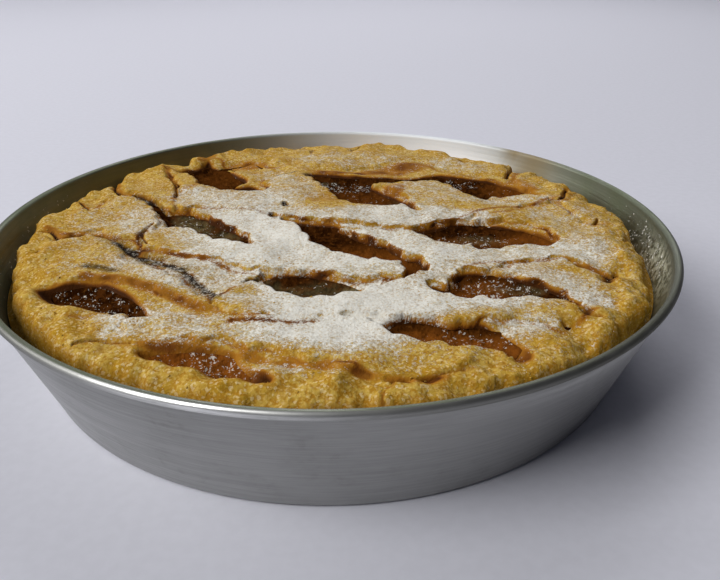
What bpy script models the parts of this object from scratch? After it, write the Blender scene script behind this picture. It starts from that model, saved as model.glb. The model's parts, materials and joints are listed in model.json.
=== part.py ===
"""Pastiera in its tin: a sloping aluminium tin, a short-pastry crust whose overlapping strips have
baked together, and the grain filling that shows in the gaps. Metres, +Z up, origin under the middle."""
import math

import bmesh
import bpy
import numpy as np
from mathutils import noise

MM = 0.001                  # the tables below are in millimetres

# tin
RIM_RADIUS = 0.140          # outside of the rolled rim
TIN_HEIGHT = 0.0488
BASE_RADIUS = 0.1233        # outside of the wall, above the foot's rounding
SHEET = 0.0012
BEAD_RADIUS = 0.0016        # rolled rim
COVE_HEIGHT = 0.0045        # flared band under the rolled rim
COVE_FLARE = 0.0011
COVE_BEND_OUT = 0.35        # share of the flare and of the height at the cove's bend
COVE_BEND_UP = 0.55
FOOT_ROUND = 0.0025
TIN_SIDES = 88

# gaps between touching pieces
WALL_GAP = 0.0005
LAYER_GAP = 0.0003

# pastry
EDGE_RADIUS = 0.1275        # mean outline of the baked edge
EDGE_ROUND = 0.007          # how far in the edge's rounding reaches
EDGE_DROP = 0.006           # how far down it falls
SEAT_TOP = 0.0325           # below this the crust lies against the tin
CASE_WALL = 0.0065
CASE_FLOOR = 0.004
SCALLOP_PITCH = 0.0095      # waves of the pastry wheel's cut
SCALLOP_DEPTH = 0.0012
SCALLOP_MIDDLE = 0.64       # mean of a row of half sine waves
SHEET_INSIDE = 0.0020       # thickness of the lowest pastry in the middle
SHEET_ROUND = 0.0030        # and all round
ROUND_STARTS = 0.026        # distance from the edge where it starts to thicken
ROUND_FULL = 0.014
GAP_LIP = 0.0015            # the sheet slopes down from this far outside a gap's outline
GAP_SLOPE = 0.0045          # to this far inside it
SIDE_WIDEN = 1.5            # sides of the laid pieces reach further in than fine pastry's do
DOME = 0.002
SINK = 0.0016               # how far the lid's sheet dips under the filling in a gap
SINK_FROM = 0.0019          # thickness below which it starts to dip
LUMP_SIZE = 0.012
LUMP_HEIGHT = 0.0007
LUMP_LAYER = 0.37           # which slice of the noise is used

# filling
FILL_TOP = 0.0418
FILL_WAVE = 0.0005          # height of its unevenness, and the sizes of its waves
FILL_WAVE_WIDE = 0.011
FILL_WAVE_DEEP = 0.009
FILL_WAVE_SLANT = 0.006
SLANT_SHARE = 0.6
WAVE_START = 1.3
FILL_INSET = 0.011          # its top's outline lies this far inside the baked edge
FILL_WAIST = 0.027          # below this its side runs parallel to the tin's wall

WELD = 0.00001              # corners closer than this become one

# grid cells across each solid, and the share of the faces that is kept
CRUST_CELLS = 144
CRUST_KEEP = 0.16
CRUST_SHARE = 6             # corners of the outline for each one lower down
FILL_CELLS = 20

# Pieces of the lid, lowest first: height over the filling, width of the side, outline, in millimetres
PLATES = (
    (3.4, 6.0, ((-78, 100), (-77, 88), (-68, 94), (-62, 86), (-54, 92), (-44, 90), (-37, 80), (-28, 82),
                (-20, 76), (-10, 73), (4, 72), (14, 77), (24, 80), (32, 86), (42, 87), (50, 78), (58, 70),
                (68, 66), (79, 60), (86, 55), (90, 64), (97, 80), (92, 104), (70, 124), (40, 138), (0, 142),
                (-40, 138), (-70, 118))),
    (3.1, 1.8, ((-122, -13), (-112, -18), (-106, -16), (-100, -14), (-92, -19), (-85, -24), (-80, -32),
                (-77, -40), (-68, -44), (-60, -51), (-52, -58), (-45, -66), (-38, -73), (-35, -80),
                (-42, -79),
                (-50, -73), (-58, -68), (-66, -64), (-74, -60), (-80, -58), (-88, -57), (-96, -58),
                (-104, -61), (-118, -63), (-132, -50), (-136, -25))),
    (3.4, 1.6, ((-135, 12), (-119, 13), (-113, 16), (-108, 28), (-103, 32), (-97, 31), (-88, 24), (-82, 16),
                (-77, 5), (-74, -4), (-75, -14), (-79, -21), (-84, -21), (-92, -17), (-100, -11),
                (-106, -14), (-112, -16), (-122, -10), (-136, -6))),
    (3.7, 1.8, ((-122, 72), (-113, 64), (-107, 45), (-103, 36), (-97, 33), (-88, 26), (-82, 20), (-76, 13),
                (-71, 14), (-73, 28), (-75, 40), (-80, 50), (-87, 62), (-92, 80), (-100, 92), (-112, 84))),
    (3.5, 1.8, ((-102, 92), (-92, 78), (-86, 72), (-79, 70), (-75, 66), (-71, 58), (-68, 50), (-66, 46),
                (-64, 38), (-72, 28), (-76, 28), (-78, 42), (-84, 58), (-92, 74), (-100, 86))),
    (3.1, 2.0, ((-88, -87), (-84, -83), (-78, -81), (-72, -80), (-65, -81), (-62, -86), (-65, -91),
                (-62, -98), (-70, -97), (-80, -95), (-87, -91))),
    (3.3, 1.7, ((-67, -85), (-61, -83), (-52, -81), (-40, -82), (-25, -82), (-10, -82), (5, -82), (15, -84),
                (20, -91), (25, -94), (30, -96), (38, -97), (43, -100), (50, -99), (55, -102), (59, -106),
                (52, -111), (42, -113), (35, -116), (28, -118), (20, -117), (10, -113), (3, -110), (-3, -111),
                (-10, -107), (-18, -103), (-24, -104), (-30, -98), (-38, -100), (-45, -99), (-55, -102),
                (-62, -100), (-66, -92))),
    (2.7, 1.6, ((58, -48), (66, -44), (78, -38), (90, -36), (100, -44), (108, -54), (116, -62), (112, -76),
                (98, -78), (90, -76), (85, -71), (82, -65), (77, -60), (70, -55), (63, -51))),
    (3.3, 1.6, ((-40, -76), (-37, -66), (-30, -58), (-24, -58), (-20, -62), (-14, -67), (-7, -69), (1, -68),
                (9, -65), (13, -61), (20, -58), (32, -52), (42, -52), (43, -58), (37, -59), (38, -64),
                (43, -66), (46, -69), (54, -66), (60, -69), (66, -67),
                (75, -68), (81, -70), (86, -73), (88, -79), (82, -83), (76, -88), (68, -84), (60, -84),
                (50, -86), (42, -88), (30, -84), (23, -85), (12, -83), (2, -85), (-12, -88), (-20, -85),
                (-30, -84))),
    (2.4, 1.4, ((-76, -31), (-68, -30), (-52, -36), (-36, -42), (-26, -46), (-24, -52), (-28, -58),
                (-34, -66),
                (-38, -70), (-44, -63), (-50, -55), (-58, -48), (-66, -40), (-73, -36))),
    (3.3, 1.5, ((0, -7), (8, -9), (20, -11), (30, -11), (38, -16), (42, -21), (50, -25), (57, -23), (59, -28),
                (64, -26), (72, -24), (80, -22), (88, -22), (92, -14), (86, -4), (74, 0), (60, 0), (62, 8),
                (80, 18), (98, 22), (106, 14), (112, 2), (122, 6), (138, 0), (134, -30), (118, -46),
                (106, -52), (98, -46), (93, -40), (88, -38), (83, -40), (75, -41), (68, -43), (61, -49),
                (53, -48), (50, -50), (46, -54), (43, -60), (37, -58), (30, -56), (32, -50), (36, -46),
                (33, -39), (27, -35), (24, -30), (19, -24), (12, -19), (5, -12))),
    (3.4, 1.5, ((-79, -14), (-73, -9), (-63, -9), (-57, -12), (-50, -18), (-44, -22), (-38, -25), (-33, -28),
                (-36, -17), (-42, -10), (-50, -4), (-56, 3), (-64, 9), (-64, 16), (-40, 14), (-26, 6),
                (-20, -2), (-15, -5), (-13, -12), (-10, -17), (-8, -22), (-6, -26), (0, -30), (1, -34),
                (6, -35), (10, -39), (17, -39), (20, -41), (27, -41), (29, -48), (28, -56), (22, -56),
                (10, -57), (0, -54), (-12, -52), (-24, -50), (-30, -50), (-37, -46), (-45, -42), (-52, -40),
                (-60, -36), (-66, -33), (-75, -30), (-79, -22))),
    (3.7, 1.5, ((-72, 14), (-68, 12), (-62, 14), (-55, 12), (-48, 12), (-42, 10), (-35, 8), (-28, 4),
                (-18, 1), (-8, -1), (0, -3), (12, -6), (22, -8), (33, -9), (42, -5), (50, -1), (60, 3),
                (66, 6), (75, 8), (82, 14), (88, 20), (96, 19), (101, 27), (97, 31), (88, 36), (82, 33),
                (74, 34), (70, 31), (66, 31), (60, 40), (56, 50), (46, 56), (38, 54), (30, 52), (20, 51),
                (16, 47), (22, 42), (28, 34), (32, 28), (33, 20), (37, 12), (30, 17), (24, 16), (17, 19),
                (10, 20), (4, 26), (0, 32), (-3, 40), (-9, 50), (-14, 60), (-25, 63), (-35, 60), (-39, 52),
                (-34, 42), (-40, 36), (-48, 38), (-54, 40), (-60, 43), (-66, 46), (-72, 40), (-76, 26))),
    (3.4, 2.4, ((98, 80), (91, 66), (88, 56), (91, 47), (96, 38), (100, 30), (105, 25), (109, 30),
                (114, 41), (128, 50), (122, 68), (108, 82))),
    (3.5, 2.4, ((102, 24), (106, 28), (112, 36), (120, 44), (136, 26), (134, 6), (120, 4), (113, -2),
                (109, 4), (105, 12))),
)
# Openings between them, outlines in millimetres
GAPS = (
    ((-82, 76), (-76, 82), (-72, 90), (-68, 84), (-62, 80), (-57, 76), (-52, 66), (-46, 58), (-46, 52),
     (-50, 47), (-42, 48), (-36, 42), (-34, 37), (-40, 33), (-48, 35), (-56, 37), (-64, 42), (-70, 50),
     (-76, 62), (-84, 70)),
    ((-16, 68), (-8, 70), (6, 66), (14, 66), (24, 66), (34, 66), (42, 68), (50, 70), (58, 67), (66, 64),
     (76, 61), (84, 56), (92, 50), (97, 42), (98, 34), (90, 32), (80, 30), (70, 28), (62, 32), (58, 38),
     (52, 48), (44, 50), (30, 48), (20, 46), (24, 38), (30, 30), (36, 20), (40, 11), (30, 13), (18, 15),
     (8, 18), (0, 26), (-5, 36), (-10, 48), (-16, 58)),
    ((30, -9), (38, -6), (46, -3), (52, 1), (62, 1), (72, -2), (82, -5), (90, -11), (94, -20), (88, -26),
     (76, -27), (64, -30), (54, -27), (42, -24), (36, -17), (30, -13)),
    ((-27, 3), (-18, 1), (-8, -1), (2, -4), (6, -11), (14, -18), (22, -23), (28, -31), (36, -39), (39, -44),
     (36, -50), (31, -56), (27, -57), (24, -44), (12, -41), (0, -36), (-8, -28), (-13, -18), (-17, -8),
     (-24, -2)),
    ((-80, 16), (-74, 10), (-62, 10), (-54, 4), (-48, -3), (-40, -9), (-34, -16), (-29, -28), (-36, -30),
     (-46, -26), (-58, -17), (-68, -12), (-72, -4), (-77, 6)),
    ((-24, -53), (-14, -50), (-4, -52), (4, -56), (12, -62), (10, -66), (0, -69), (-8, -70), (-16, -67),
     (-22, -60)),
    ((35, -59), (43, -58), (45, -52), (50, -48), (58, -48), (66, -51), (74, -55), (80, -60), (85, -66),
     (88, -73), (82, -74), (74, -71), (62, -71), (52, -70), (42, -70), (38, -66)),
    ((17, -91), (22, -84), (30, -82), (40, -85), (50, -85), (57, -90), (63, -98), (64, -105), (58, -107),
     (50, -102), (40, -101), (30, -98), (22, -95)),
    ((-104, -62), (-98, -58), (-88, -56), (-80, -58), (-73, -63), (-66, -69), (-61, -76), (-58, -83),
     (-64, -83), (-72, -80), (-80, -78), (-88, -76), (-95, -73), (-101, -68)),
    ((-57, -103), (-48, -100), (-36, -100), (-27, -102), (-23, -108), (-18, -113), (-13, -118), (-15, -121),
     (-24, -119), (-36, -114), (-48, -110), (-55, -107)),
)
# Lobes and notches in the edge's outline: bearing in degrees, how far out in millimetres, width in degrees
EDGE_LOBES = (
    (178, 3.5, 5), (165, 3.5, 4), (148, 5, 5), (137.5, 3, 3), (121, 3, 5), (100, 4, 3), (81, 3, 4),
    (70, 3, 4), (45, 2, 4), (-30, 3, 8), (7, 3, 7), (195, 2, 6), (212, 2, 5), (232, 1.5, 6), (262, 2, 6),
    (285, 1.5, 5), (306, 2, 5), (134.3, -7.5, 2), (143, -3, 1.5), (171, -3, 2), (112, -4, 2),
    (104, -4, 2.5), (94, -4, 3), (86.5, -4, 2.5), (57, -4, 4), (39, -7, 2), (14, -3, 1.5),
    (204, 2.0, 14), (240, 2.0, 20), (285, 2.0, 22), (325, 1.0, 12),
)
# Smaller waves: how many round the edge, how far out in millimetres, phase
EDGE_WAVES = ((23, 0.6, 1.0), (37, 0.4, 4.0))


def clear_scene():
    for item in list(bpy.data.objects):
        bpy.data.objects.remove(item, do_unlink=True)


def make_material(name, colour, roughness, metallic=0.0):
    material = bpy.data.materials.new(name)
    material.use_nodes = True
    shader = material.node_tree.nodes["Principled BSDF"]
    shader.inputs["Base Color"].default_value = (*colour, 1.0)
    shader.inputs["Roughness"].default_value = roughness
    shader.inputs["Metallic"].default_value = metallic
    return material


def add_object(name, mesh, material):
    item = bpy.data.objects.new(name, mesh)
    bpy.context.scene.collection.objects.link(item)
    mesh.materials.append(material)
    mesh.shade_smooth()
    mesh.set_sharp_from_angle(angle=math.radians(35))
    return item


def arc(centre_r, centre_z, radius, start, end, steps):
    """Points of a round stretch of a turned profile, angles in degrees from +r."""
    points = []
    for step in range(steps + 1):
        angle = math.radians(start + (end - start) * step / steps)
        points.append((centre_r + radius * math.cos(angle), centre_z + radius * math.sin(angle)))
    return points


def wall_radius(height):
    """Outer radius of the tin's straight wall at a height."""
    top = TIN_HEIGHT - 2 * BEAD_RADIUS - COVE_HEIGHT
    top_radius = RIM_RADIUS - 2 * BEAD_RADIUS + SHEET - COVE_FLARE
    return BASE_RADIUS + (top_radius - BASE_RADIUS) * (height - FOOT_ROUND) / (top - FOOT_ROUND)


def tin_profile():
    """Closed section of the tin from the underside's middle, up outside and down inside."""
    bead_r = RIM_RADIUS - BEAD_RADIUS
    bead_z = TIN_HEIGHT - BEAD_RADIUS
    cove_foot = TIN_HEIGHT - 2 * BEAD_RADIUS - COVE_HEIGHT
    points = [(0.0, 0.0)]
    points += arc(BASE_RADIUS - FOOT_ROUND, FOOT_ROUND, FOOT_ROUND, -90, 0, 2)
    points.append((wall_radius(cove_foot), cove_foot))
    points.append((wall_radius(cove_foot) + COVE_BEND_OUT * COVE_FLARE,
                   cove_foot + COVE_BEND_UP * COVE_HEIGHT))
    points += arc(bead_r, bead_z, BEAD_RADIUS, -105, 180, 7)
    points.append((wall_radius(cove_foot) - SHEET, cove_foot))
    inner_round = FOOT_ROUND - SHEET / 2
    corner_z = SHEET + inner_round
    points += arc(wall_radius(corner_z) - SHEET - inner_round, corner_z, inner_round, 0, -90, 1)
    points.append((0.0, SHEET))
    return points


def make_tin():
    shell = bmesh.new()
    verts = [shell.verts.new((r, 0.0, z)) for r, z in tin_profile()]
    edges = [shell.edges.new(pair) for pair in zip(verts, verts[1:])]
    bmesh.ops.spin(shell, geom=verts + edges, cent=(0, 0, 0), axis=(0, 0, 1),
                   angle=math.tau, steps=TIN_SIDES, use_duplicate=False)
    bmesh.ops.remove_doubles(shell, verts=shell.verts, dist=WELD)
    bmesh.ops.recalc_face_normals(shell, faces=shell.faces)
    mesh = bpy.data.meshes.new("tin")
    shell.to_mesh(mesh)
    shell.free()
    return add_object("tin", mesh, make_material("tin", (0.52, 0.52, 0.50), 0.35, 1.0))


def closed_through(points, steps=3):
    """Smooth closed outline through points (Catmull-Rom), in metres."""
    points = MM * np.array(points, dtype=float)
    t = (np.arange(steps) / steps)[:, None]
    run = []
    for k in range(len(points)):
        before, start, end, after = (points[(k + j) % len(points)] for j in (-1, 0, 1, 2))
        run.append(0.5 * (2 * start + (end - before) * t
                          + (2 * before - 5 * start + 4 * end - after) * t ** 2
                          + (3 * start - before - 3 * end + after) * t ** 3))
    return np.vstack(run)


def inside_outline(x, y, outline, depth=0.0):
    """How far each point lies inside a closed outline, negative outside. The wheel's waves have a depth."""
    distance = np.full(x.shape, 1.0)
    wave = np.zeros(x.shape)
    within = np.zeros(x.shape, bool)
    travelled = 0.0
    for (x0, y0), (x1, y1) in zip(outline, np.roll(outline, -1, axis=0)):
        dx, dy = x1 - x0, y1 - y0
        length = math.hypot(dx, dy)
        t = np.clip(((x - x0) * dx + (y - y0) * dy) / length ** 2, 0, 1)
        away = np.hypot(x - x0 - t * dx, y - y0 - t * dy)
        nearer = away < distance
        distance = np.where(nearer, away, distance)
        along = travelled + t * length
        wave = np.where(nearer, np.abs(np.sin(math.pi * along / SCALLOP_PITCH)), wave)
        if dy:
            within ^= ((y0 > y) != (y1 > y)) & (x < x0 + (y - y0) * dx / dy)
        travelled += length
    return np.where(within, distance, -distance) + depth * (wave - SCALLOP_MIDDLE)


def smooth_step(value, low, high):
    t = np.clip((value - low) / (high - low), 0, 1)
    return t * t * (3 - 2 * t)


def ripple(angle, waves):
    return sum(MM * reach * np.sin(count * angle + phase) for count, reach, phase in waves)


def edge_radius(angle):
    """Outline of the baked edge: uneven, with lobes where strips end and notches between."""
    radius = EDGE_RADIUS + ripple(angle, EDGE_WAVES)
    for bearing, out, width in EDGE_LOBES:
        off = np.degrees(np.angle(np.exp(1j * (angle - math.radians(bearing)))))
        radius = radius + MM * out * np.exp(-(off / width) ** 2)
    return radius


def fill_height(x, y):
    radius = np.hypot(x, y) / EDGE_RADIUS
    waves = np.sin(x / FILL_WAVE_WIDE + WAVE_START) * np.cos(y / FILL_WAVE_DEEP)
    waves += SLANT_SHARE * np.sin((x + y) / FILL_WAVE_SLANT)
    return FILL_TOP + DOME * (1 - radius ** 2) + FILL_WAVE * waves


def open_sheet(x, y, from_edge):
    """Thickness of the lowest pastry: one sheet, thicker all round, which slopes into every gap."""
    thicker = smooth_step(-from_edge, -ROUND_STARTS, -ROUND_FULL)
    cover = np.ones(x.shape)
    for gap in GAPS:
        inside = inside_outline(x, y, closed_through(gap))
        cover = np.minimum(cover, smooth_step(-inside, -GAP_SLOPE, GAP_LIP))
    return cover * (SHEET_INSIDE + (SHEET_ROUND - SHEET_INSIDE) * thicker)


def lid_height(x, y):
    """Top of the pastry; in the gaps it dips under the filling."""
    from_edge = edge_radius(np.arctan2(y, x)) - np.hypot(x, y)
    raised = open_sheet(x, y, from_edge)
    for level, side, points in PLATES:
        inside = inside_outline(x, y, closed_through(points), SCALLOP_DEPTH)
        rise = np.sin(0.5 * math.pi * np.clip(inside / (MM * side * SIDE_WIDEN), 0, 1))
        raised = np.maximum(raised, MM * level * rise)
    height = fill_height(x, y) + raised - SINK * np.clip(1 - raised / SINK_FROM, 0, 1)
    rounding = 1 - np.clip(from_edge / EDGE_ROUND, 0, 1)
    return height - EDGE_DROP * (1 - np.sqrt(1 - rounding ** 2))


def lumps(x, y, size, amount):
    """Uneven baking: smooth noise of the given size, in metres."""
    values = [noise.noise((px / size, py / size, LUMP_LAYER)) for px, py in zip(x.ravel(), y.ravel())]
    return amount * np.array(values).reshape(x.shape)


def disc_grid(cells):
    """A square grid pulled to a unit disc: near-even cells and a round outline."""
    side = np.linspace(-1, 1, cells + 1)
    u, v = np.meshgrid(side, side)
    reach = np.maximum(np.abs(u), np.abs(v))
    length = np.hypot(u, v)
    shrink = np.divide(reach, length, out=np.ones_like(length), where=length > 0)
    return u * shrink, v * shrink


def outline_order(cells):
    """Grid indices once round the outline, anticlockwise."""
    last = cells
    low = [(0, c) for c in range(last)]
    right = [(r, last) for r in range(last)]
    high = [(last, c) for c in range(last, 0, -1)]
    left = [(r, 0) for r in range(last, 0, -1)]
    return [r * (cells + 1) + c for r, c in low + right + high + left]


def skirt(solid, upper, lower):
    """Joins a ring to a lower one that has one corner for every few of its own."""
    share = len(upper) // len(lower)
    for k, corner in enumerate(lower):
        following = lower[(k + 1) % len(lower)]
        middle = upper[k * share + share // 2]
        solid.faces.new((corner, following, middle))
        for j in range(share):
            start = upper[k * share + j]
            end = upper[(k * share + j + 1) % len(upper)]
            foot = corner if j < share // 2 else following
            solid.faces.new((end, start, foot))


def height_body(name, x, y, z, rings, share=1):
    """Closed solid: a grid top, then rings (radius, height) under its outline, and a floor.
    The rings have one corner for every few of the outline's."""
    cells = x.shape[0] - 1
    solid = bmesh.new()
    top = [solid.verts.new(p) for p in zip(x.ravel(), y.ravel(), z.ravel())]
    for row in range(cells):
        for col in range(cells):
            a = row * (cells + 1) + col
            solid.faces.new((top[a], top[a + 1], top[a + cells + 2]))
            solid.faces.new((top[a], top[a + cells + 2], top[a + cells + 1]))
    outline = [top[k] for k in outline_order(cells)]
    bearings = [math.atan2(vert.co.y, vert.co.x) for vert in outline[::share]]
    upper = outline
    for radius, height in rings:
        lower = [solid.verts.new((radius * math.cos(b), radius * math.sin(b), height)) for b in bearings]
        skirt(solid, upper, lower)
        upper = lower
    solid.faces.new(list(reversed(upper)))
    bmesh.ops.triangulate(solid, faces=[face for face in solid.faces if len(face.verts) > 3])
    bmesh.ops.recalc_face_normals(solid, faces=solid.faces)
    mesh = bpy.data.meshes.new(name)
    solid.to_mesh(mesh)
    solid.free()
    return mesh


def inner_wall(height):
    return wall_radius(height) - SHEET - WALL_GAP


def fill_body(name, grow):
    """The filling's solid, or, grown by the gap round it, the hollow that it lies in."""
    u, v = disc_grid(FILL_CELLS)
    top_radius = EDGE_RADIUS - FILL_INSET + grow
    floor = SHEET + LAYER_GAP + CASE_FLOOR + LAYER_GAP - grow
    x, y = u * top_radius, v * top_radius
    z = fill_height(x, y) + grow
    waist = (inner_wall(FILL_WAIST) - CASE_WALL + grow, FILL_WAIST)
    foot = (inner_wall(floor) - CASE_WALL + grow, floor)
    return height_body(name, x, y, z, (waist, foot))


def keep_main_body(item):
    """Applies an object's modifiers and drops the loose scraps that a cut leaves."""
    graph = bpy.context.evaluated_depsgraph_get()
    mesh = bpy.data.meshes.new_from_object(item.evaluated_get(graph))
    item.modifiers.clear()
    solid = bmesh.new()
    solid.from_mesh(mesh)
    bmesh.ops.remove_doubles(solid, verts=solid.verts, dist=WELD)
    bmesh.ops.triangulate(solid, faces=solid.faces)
    waiting = set(solid.faces)
    bodies = []
    while waiting:
        body = {waiting.pop()}
        front = list(body)
        while front:
            near = {face for edge in front.pop().edges for face in edge.link_faces} - body
            body |= near
            front += near
        waiting -= body
        bodies.append(body)
    bodies.sort(key=len)
    scraps = [face for body in bodies[:-1] for face in body]
    bmesh.ops.delete(solid, geom=scraps, context="FACES")
    solid.to_mesh(mesh)
    solid.free()
    item.data = mesh


def make_crust():
    u, v = disc_grid(CRUST_CELLS)
    edge = edge_radius(np.arctan2(v, u))
    x, y = u * edge, v * edge
    z = lid_height(x, y) + lumps(x, y, LUMP_SIZE, LUMP_HEIGHT)
    floor = SHEET + LAYER_GAP
    corner = FOOT_ROUND
    rings = ((inner_wall(SEAT_TOP), SEAT_TOP), (inner_wall(corner + floor), corner + floor),
             (inner_wall(floor) - corner, floor))
    material = make_material("crust", (0.50, 0.27, 0.075), 0.8)
    crust = add_object("crust", height_body("crust", x, y, z, rings, CRUST_SHARE), material)
    top = crust.vertex_groups.new(name="top")
    last = CRUST_CELLS
    inner = [row * (last + 1) + col for row in range(1, last) for col in range(1, last)]
    top.add(inner, 1.0, "REPLACE")
    fewer = crust.modifiers.new("fewer faces", "DECIMATE")
    fewer.ratio = CRUST_KEEP
    fewer.vertex_group = top.name
    hollow = add_object("hollow", fill_body("hollow", LAYER_GAP), material)
    cut = crust.modifiers.new("room for filling", "BOOLEAN")
    cut.operation = "DIFFERENCE"
    cut.solver = "MANIFOLD"
    cut.object = hollow
    keep_main_body(crust)
    bpy.data.objects.remove(hollow, do_unlink=True)
    return crust


def make_filling():
    material = make_material("filling", (0.12, 0.04, 0.012), 0.3)
    return add_object("filling", fill_body("filling", 0.0), material)


clear_scene()
make_tin()
make_crust()
make_filling()
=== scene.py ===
"""Looks of a pastiera in its tin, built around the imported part: fine pastry, grain filling, icing
sugar, crumbs, a turned aluminium tin and a plain studio. Metres, +Z up."""
import json
import math

import bmesh
import bpy
import numpy as np
from mathutils import Matrix, Vector, noise

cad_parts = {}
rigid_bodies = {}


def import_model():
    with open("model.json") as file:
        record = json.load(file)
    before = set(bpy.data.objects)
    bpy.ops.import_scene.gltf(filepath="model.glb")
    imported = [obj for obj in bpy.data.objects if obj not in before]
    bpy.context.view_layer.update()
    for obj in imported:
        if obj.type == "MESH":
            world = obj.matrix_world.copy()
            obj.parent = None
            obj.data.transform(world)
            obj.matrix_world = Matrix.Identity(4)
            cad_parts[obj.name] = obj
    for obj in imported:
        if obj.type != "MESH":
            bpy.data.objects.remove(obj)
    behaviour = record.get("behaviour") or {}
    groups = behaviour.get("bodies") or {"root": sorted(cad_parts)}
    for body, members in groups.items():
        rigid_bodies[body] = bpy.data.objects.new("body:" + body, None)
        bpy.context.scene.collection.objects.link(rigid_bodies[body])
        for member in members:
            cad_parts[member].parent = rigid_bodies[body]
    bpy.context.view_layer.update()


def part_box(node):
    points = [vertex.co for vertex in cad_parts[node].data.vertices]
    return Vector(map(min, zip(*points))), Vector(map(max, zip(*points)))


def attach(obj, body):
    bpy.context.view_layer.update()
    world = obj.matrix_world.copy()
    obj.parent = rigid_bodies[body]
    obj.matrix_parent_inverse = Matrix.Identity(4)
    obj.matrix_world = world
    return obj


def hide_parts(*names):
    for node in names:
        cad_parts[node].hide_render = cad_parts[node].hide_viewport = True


bl_info = {
    "name": "Pastiera in its tin",
    "version": (1, 0, 0),
    "blender": (4, 5, 0),
    "location": "3D View > Sidebar > Pastiera",
    "description": "Makes a lattice-topped pastiera, its icing sugar, its tin and a studio",
    "category": "Add Mesh",
}

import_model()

MM = 0.001

# Sizes that the part fixes
RIM_RADIUS = round(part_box("tin")[1].x, 3)
TIN_HEIGHT = round(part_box("tin")[1].z, 4)
BASE_RADIUS = 0.1233        # outside of the wall where the foot's rounding ends
FOOT_ROUND = 0.0025
COVE_HEIGHT = 0.0045        # flared band under the rolled rim
COVE_FLARE = 0.0011
WALL_GAP = 0.0005           # between the tin's wall and the case
LAYER_GAP = 0.0003          # between one floor and the next
EDGE_RADIUS = 0.1275        # baked edge, before its lobes and waves
EDGE_ROUND = 0.007          # how far in its top is rounded
EDGE_DROP = 0.006           # how far it falls there
SEAT_TOP = 0.0325           # up to here the crust lies against the wall
CASE_WALL = 0.0065
CASE_FLOOR = 0.004
SCALLOP_MIDDLE = 0.64       # mean of a row of half sine waves
FILL_TOP = 0.0418           # top of the filling at its edge
DOME = 0.002                # how much higher its middle is
FILL_WAVE = 0.0005          # height of its low waves
FILL_INSET = 0.011          # from the baked edge in to the filling's
FILL_WAIST = 0.027          # below this the filling's side follows the wall

# How the lid is laid and browned
CURVE_STEPS = 4             # points of a smooth curve for each way-point
SHEET = 0.0020              # height of the lowest sheet over the filling
SHEET_RISE = 0.0010         # how much higher it is near the edge
FULL_BODY = 0.0019          # pastry at least this high neither sinks nor loses its relief
SINK = 0.0016               # how far the bare mesh dips under the filling in a gap
MARGIN = 0.009              # how far round its outline a piece is worked out
GAP_IN, GAP_OUT = 0.0045, 0.0015    # where a gap's slope ends, inside and outside its outline
BY_GAP = 0.005              # edges nearer to a gap than this brown more, with painted shade
PATCH, SPOT = 0.014, 0.0055     # sizes of the patches and spots that the browning breaks into
OWN_BROWN = 0.0034          # breadth of a piece's browned edge
UNDER_SHADE = 0.0011        # breadth of the line of painted shade and browning along its foot
EDGE_LINE = 0.0002          # breadth of the bare edge itself
FOOT_REACH = 0.0012         # breadth of a piece's edge that a groove at its foot still presses
BARE_BELOW = 0.0012         # the filling is bare where the pastry over it is lower than this

# Unevenness of the pastry: amount, size, layer of the noise
SKIN_NOISE = ((0.0010, 0.013, 0.37), (0.00040, 0.0050, 1.7), (0.00013, 0.0021, 4.2))
BORDER_NOISE = ((0.0018, 0.010, 6.5), (0.0007, 0.0045, 7.5))
SHOULDER_NOISE = ((0.0030, 0.010, 11.3), (0.0014, 0.0045, 12.9))
LUMP, LUMP_SIZE = 0.0028, 0.0092        # height and size of the border's lumps
NUGGET, NUGGET_SIZE = 0.0013, 0.0046    # and of the smaller ones on them
LUMP_MIDDLE = 0.6           # their mean height, 0 to 1
LUMPY_SIDE = -38            # bearing of the lumpiest stretch of the border, in degrees
SUGARED_SIDE = -8           # bearing where the sugar reaches furthest out
SUGAR_FROM = (0.0, 0.38, 0.925)     # direction from which the sugar fell
KERNEL = 0.0046             # grains of wheat in the filling
HOLLOW_CELLS = 60           # fineness of the hollow cut for the filling
HOLLOW_PLAY = 0.00004       # how much larger than the filling it is
SEAT_SLOPE = 0.0015         # height over which the crust leaves the wall
PASTRY_CREASE, FILLING_CREASE = 75, 60      # edges keener than this stay sharp, in degrees

# How the tin is turned
FLOOR_RING = 0.06           # radius of the points halfway across the floor
WALL_FROM, WALL_DOWN_TO = 0.006, 0.008      # lowest points of the straight wall, out and inside
COVE_BEND = 1.6             # how the flared band curves outwards
BEAD_START = -105           # where it meets the rolled rim, in degrees
AXIS_SHARE = 1e-6           # a circle shrunk to this share stands for the axis
POLE_REACH = 0.0005         # points nearer to the axis than this are put on it
WELD = 1e-5                 # points nearer to each other than this are made one
LINE_STRETCH = 0.004        # how little the turned lines change round the tin

# Stretches round the tin: bearing of the middle and half width, in degrees
# on the rim, the shaded stretch and the one on the far left carry painted shade, the front stretch
# a painted highlight
SHADED_RIM, HIGHLIT_RIM, SHADED_LEFT_RIM, BROWN_RIM = (-42, 28), (-103, 16), (-143, 22), (45, 3.0)
BROWN_WALL, DUSTY_WALL, SUGARED_WALL = (40, 6.0), (-13, 11), (-4, 13)
SUGARED_LEFT = (172, 14)    # on both sides of the far left
# stretch of the inner back wall where a reflection of the key light is painted: middle, then half
# widths before and after it
REFLECTION_MIDDLE, REFLECTION_BEFORE, REFLECTION_AFTER = 70, 25, 36

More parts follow.
